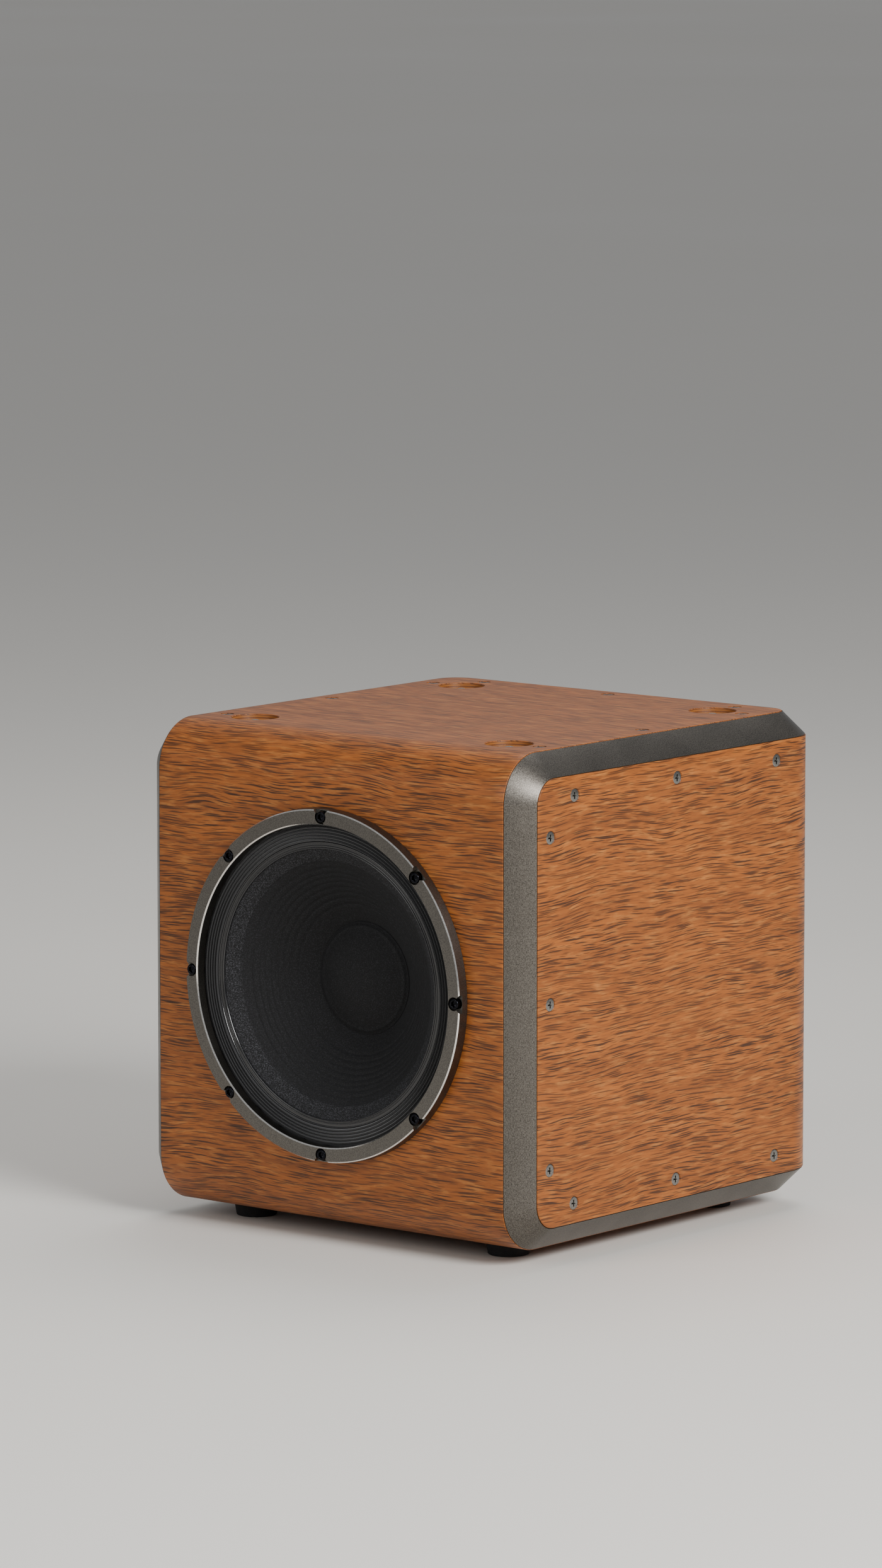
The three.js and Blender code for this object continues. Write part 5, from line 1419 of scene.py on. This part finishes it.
class SUBWOOFER_OT_sockets(bpy.types.Operator):
    """Adds the mains inlet and the two signal inputs"""

    bl_idname = "subwoofer.sockets"
    bl_label = "Sockets"

    def execute(self, context):
        self.inlet()
        for node in ("input_left", "input_right"):
            self.signal_input(node)
        return {"FINISHED"}

    def inlet(self):
        """A flanged mains inlet: a chamfered well with three flat blades, and two screws."""
        x, z = middle("mains_inlet", "x"), middle("mains_inlet", "z")
        flange = slab(50 * MM, 27 * MM, 4 * MM, 0.3 * MM, 2.3 * MM, 0.5 * MM)
        body = slab(28.4 * MM, 20.2 * MM, 2 * MM, -21.7 * MM, 0.25 * MM, 0.2 * MM)
        well = slab(24.4 * MM, 16.2 * MM, 3 * MM, -13.7 * MM, 4 * MM, 0.05 * MM)
        parts = [(on_rear(flange, x, z), "moulded_plastic"), (on_rear(body, x, z), "moulded_plastic")]
        piece = linked("mains_inlet_socket", parts)
        bored(piece, [on_rear(well, x, z)])
        settle(piece, "cabinet", ["mains_inlet"])
        blade = slab(2 * MM, 4 * MM, 0.4 * MM, -13.6 * MM, -3.7 * MM, 0.35 * MM)
        spots = ((-7, -2), (0, 2), (7, -2))
        parts = [(on_rear(blade, x + u * MM, z + v * MM), "nickel_plate") for u, v in spots]
        parts += [(on_rear(plate_screw(), x + u * MM, z, 2.35 * MM), "black_oxide_steel") for u in (-20, 20)]
        settle(linked("inlet_blades", parts), "cabinet")

    def signal_input(self, node):
        """A balanced input: a flange with a round mouth, a ring-shaped gap, three pin sockets and two
        screws."""
        x, z = middle(node, "x"), middle(node, "z")
        flange = slab(26 * MM, 31 * MM, 3.5 * MM, 0.3 * MM, 1.8 * MM, 0.4 * MM)
        heights = [h * MM for h in (-17.6, -17.4, 0.1, 0.25)]
        barrel = rings([11.3 * MM, 11.4 * MM, 11.4 * MM, 11.3 * MM], heights, 96)
        parts = [(on_rear(flange, x, z), "powder_coat"), (on_rear(barrel, x, z), "moulded_plastic")]
        piece = linked(f"{node}_socket", parts)
        rim = [(9.6 * MM, 3 * MM), (9.6 * MM, 1.9 * MM), (9.2 * MM, 1.4 * MM), (9.2 * MM, -9 * MM)]
        rim += [(7.6 * MM, -9 * MM), (7.6 * MM, 3 * MM)]
        gap = lathe(rim, 0.05 * MM, 96, joined=True)
        pin = rings([1.25 * MM, 1.25 * MM], [-9 * MM, 3 * MM], 24)
        holes = [on_rear(pin, x + u * MM, z + v * MM) for u, v in ((-3.4, 0.8), (3.4, 0.8), (0, -3.2))]
        bored(piece, [on_rear(gap, x, z), *holes])
        settle(piece, "cabinet", [node])
        spots = ((-9.6, 12), (9.6, -12))
        parts = [
            (on_rear(plate_screw(), x + u * MM, z + v * MM, 1.85 * MM), "black_oxide_steel") for u, v in spots
        ]
        settle(linked(f"{node}_screws", parts), "cabinet")


# ------------------------------------------------------------------ finishes of the CAD pieces that stay

KEPT = {
    "window_brace": "birch_plywood",
    "driver_gasket": "foam_tape",
    "basket": "painted_casting",
    "coil_former": "polyimide_film",
    "voice_coil": "copper_winding",
    "top_plate": "passivated_steel",
    "magnet": "sintered_ferrite",
    "pole_yoke": "passivated_steel",
    "terminal_block": "moulded_plastic",
    "lead_positive": "red_insulation",
    "lead_negative": "black_insulation",
    "amp_gasket": "foam_tape",
    "amp_cover": "galvanised_sheet",
    "amp_board": "circuit_board",
    "transformer": "winding_tape",
    "gain_pot": "passivated_steel",
    "crossover_pot": "passivated_steel",
    "phase_switch": "passivated_steel",
}


class SUBWOOFER_OT_inner_finishes(bpy.types.Operator):
    """Gives the pieces inside the cabinet their materials"""

    bl_idname = "subwoofer.inner_finishes"
    bl_label = "Inner finishes"

    def execute(self, context):
        for node, finish in KEPT.items():
            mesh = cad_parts[node].data
            mesh.materials.clear()
            mesh.materials.append(finished(finish))
        return {"FINISHED"}


# ------------------------------------------------------------------ stage

# The camera stands off the front right corner, a little above the cabinet's top.
CAMERA_PLACE = (4.2839, -5.3368, 1.3208)
CAMERA_RIGHT = (0.7763, 0.6304, 0)
CAMERA_UP = (-0.0854, 0.1052, 0.9908)
CAMERA_BACK = (0.6246, -0.7691, 0.1355)
LENS = 178.07
WORLD_STRENGTH = 0.42
FLOOR_REACH = 60.0


class SUBWOOFER_OT_stage(bpy.types.Operator):
    """Adds the camera, the plain pale floor and the soft studio lights"""

    bl_idname = "subwoofer.stage"
    bl_label = "Stage"

    def execute(self, context):
        self.camera(context.scene)
        self.floor(context.scene)
        self.light("key_light", (3.4, -0.9, 2.2), 1.8, 215)
        self.light("front_light", (-0.8, -4.0, 2.2), 2.6, 52)
        self.light("top_light", (-0.4, 1.4, 3.2), 2.2, 45)
        world = bpy.data.worlds.new("studio")
        context.scene.world = world
        world.use_nodes = True
        background = world.node_tree.nodes["Background"]
        background.inputs["Color"].default_value = colour("#E9EBEE")
        background.inputs["Strength"].default_value = WORLD_STRENGTH
        return {"FINISHED"}

    def camera(self, scene):
        data = bpy.data.cameras.new("camera")
        data.lens, data.sensor_width, data.clip_end = LENS, 36, 200
        camera = bpy.data.objects.new("camera", data)
        scene.collection.objects.link(camera)
        camera.location = CAMERA_PLACE
        camera.rotation_mode = "QUATERNION"
        axes = Matrix((CAMERA_RIGHT, CAMERA_UP, CAMERA_BACK)).transposed()
        camera.rotation_quaternion = axes.to_quaternion()
        scene.camera = camera

    def floor(self, scene):
        reach = FLOOR_REACH
        corners = np.array([(-reach, -reach, 0), (reach, -reach, 0), (reach, reach, 0), (-reach, reach, 0)])
        floor = bpy.data.objects.new("floor", new_mesh("floor", (corners, [np.arange(4)[None]])))
        floor.data.materials.append(finished("floor_paint"))
        scene.collection.objects.link(floor)

    def light(self, name, place, size, power):
        data = bpy.data.lights.new(name, "AREA")
        data.size, data.energy, data.shape = size, power, "DISK"
        light = bpy.data.objects.new(name, data)
        bpy.context.scene.collection.objects.link(light)
        light.location = place
        aim = Vector((0, 0, MIDDLE_UP)) - light.location
        light.rotation_mode = "QUATERNION"
        light.rotation_quaternion = aim.to_track_quat("-Z", "Y")


# ------------------------------------------------------------------ add-on

OPERATORS = (
    SUBWOOFER_OT_stage,
    SUBWOOFER_OT_front_shell,
    SUBWOOFER_OT_rear_shell,
    SUBWOOFER_OT_seam_frame,
    SUBWOOFER_OT_shell_screws,
    SUBWOOFER_OT_trim_ring,
    SUBWOOFER_OT_driver_bolts,
    SUBWOOFER_OT_surround,
    SUBWOOFER_OT_spider,
    SUBWOOFER_OT_cone,
    SUBWOOFER_OT_feet,
    SUBWOOFER_OT_amp_plate,
    SUBWOOFER_OT_heatsink,
    SUBWOOFER_OT_controls,
    SUBWOOFER_OT_sockets,
    SUBWOOFER_OT_inner_finishes,
)


class SUBWOOFER_PT_panel(bpy.types.Panel):
    bl_label = "Subwoofer"
    bl_idname = "SUBWOOFER_PT_panel"
    bl_space_type = "VIEW_3D"
    bl_region_type = "UI"
    bl_category = "Subwoofer"

    def draw(self, context):
        for operator in OPERATORS:
            self.layout.operator(operator.bl_idname)
        scene = context.scene
        for group in (scene.subwoofer_cabinet, scene.subwoofer_driver, scene.subwoofer_colours):
            for name in group.bl_rna.properties.keys():
                if name not in ("rna_type", "name"):
                    self.layout.prop(group, name)


GROUPS = {
    "subwoofer_cabinet": CabinetSizes,
    "subwoofer_driver": DriverSizes,
    "subwoofer_colours": FinishColours,
}


def register():
    for kind in (*GROUPS.values(), *OPERATORS, SUBWOOFER_PT_panel):
        bpy.utils.register_class(kind)
    for name, group in GROUPS.items():
        setattr(bpy.types.Scene, name, PointerProperty(type=group))


def unregister():
    for name in GROUPS:
        delattr(bpy.types.Scene, name)
    for kind in (SUBWOOFER_PT_panel, *reversed(OPERATORS), *reversed(GROUPS.values())):
        bpy.utils.unregister_class(kind)


def main():
    """Registers the classes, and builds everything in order."""
    register()
    for operator in OPERATORS:
        call = getattr(bpy.ops.subwoofer, operator.bl_idname.split(".")[1])
        if call() != {"FINISHED"}:
            raise RuntimeError(f"{operator.bl_label} was not built")


if __name__ == "__main__":
    main()
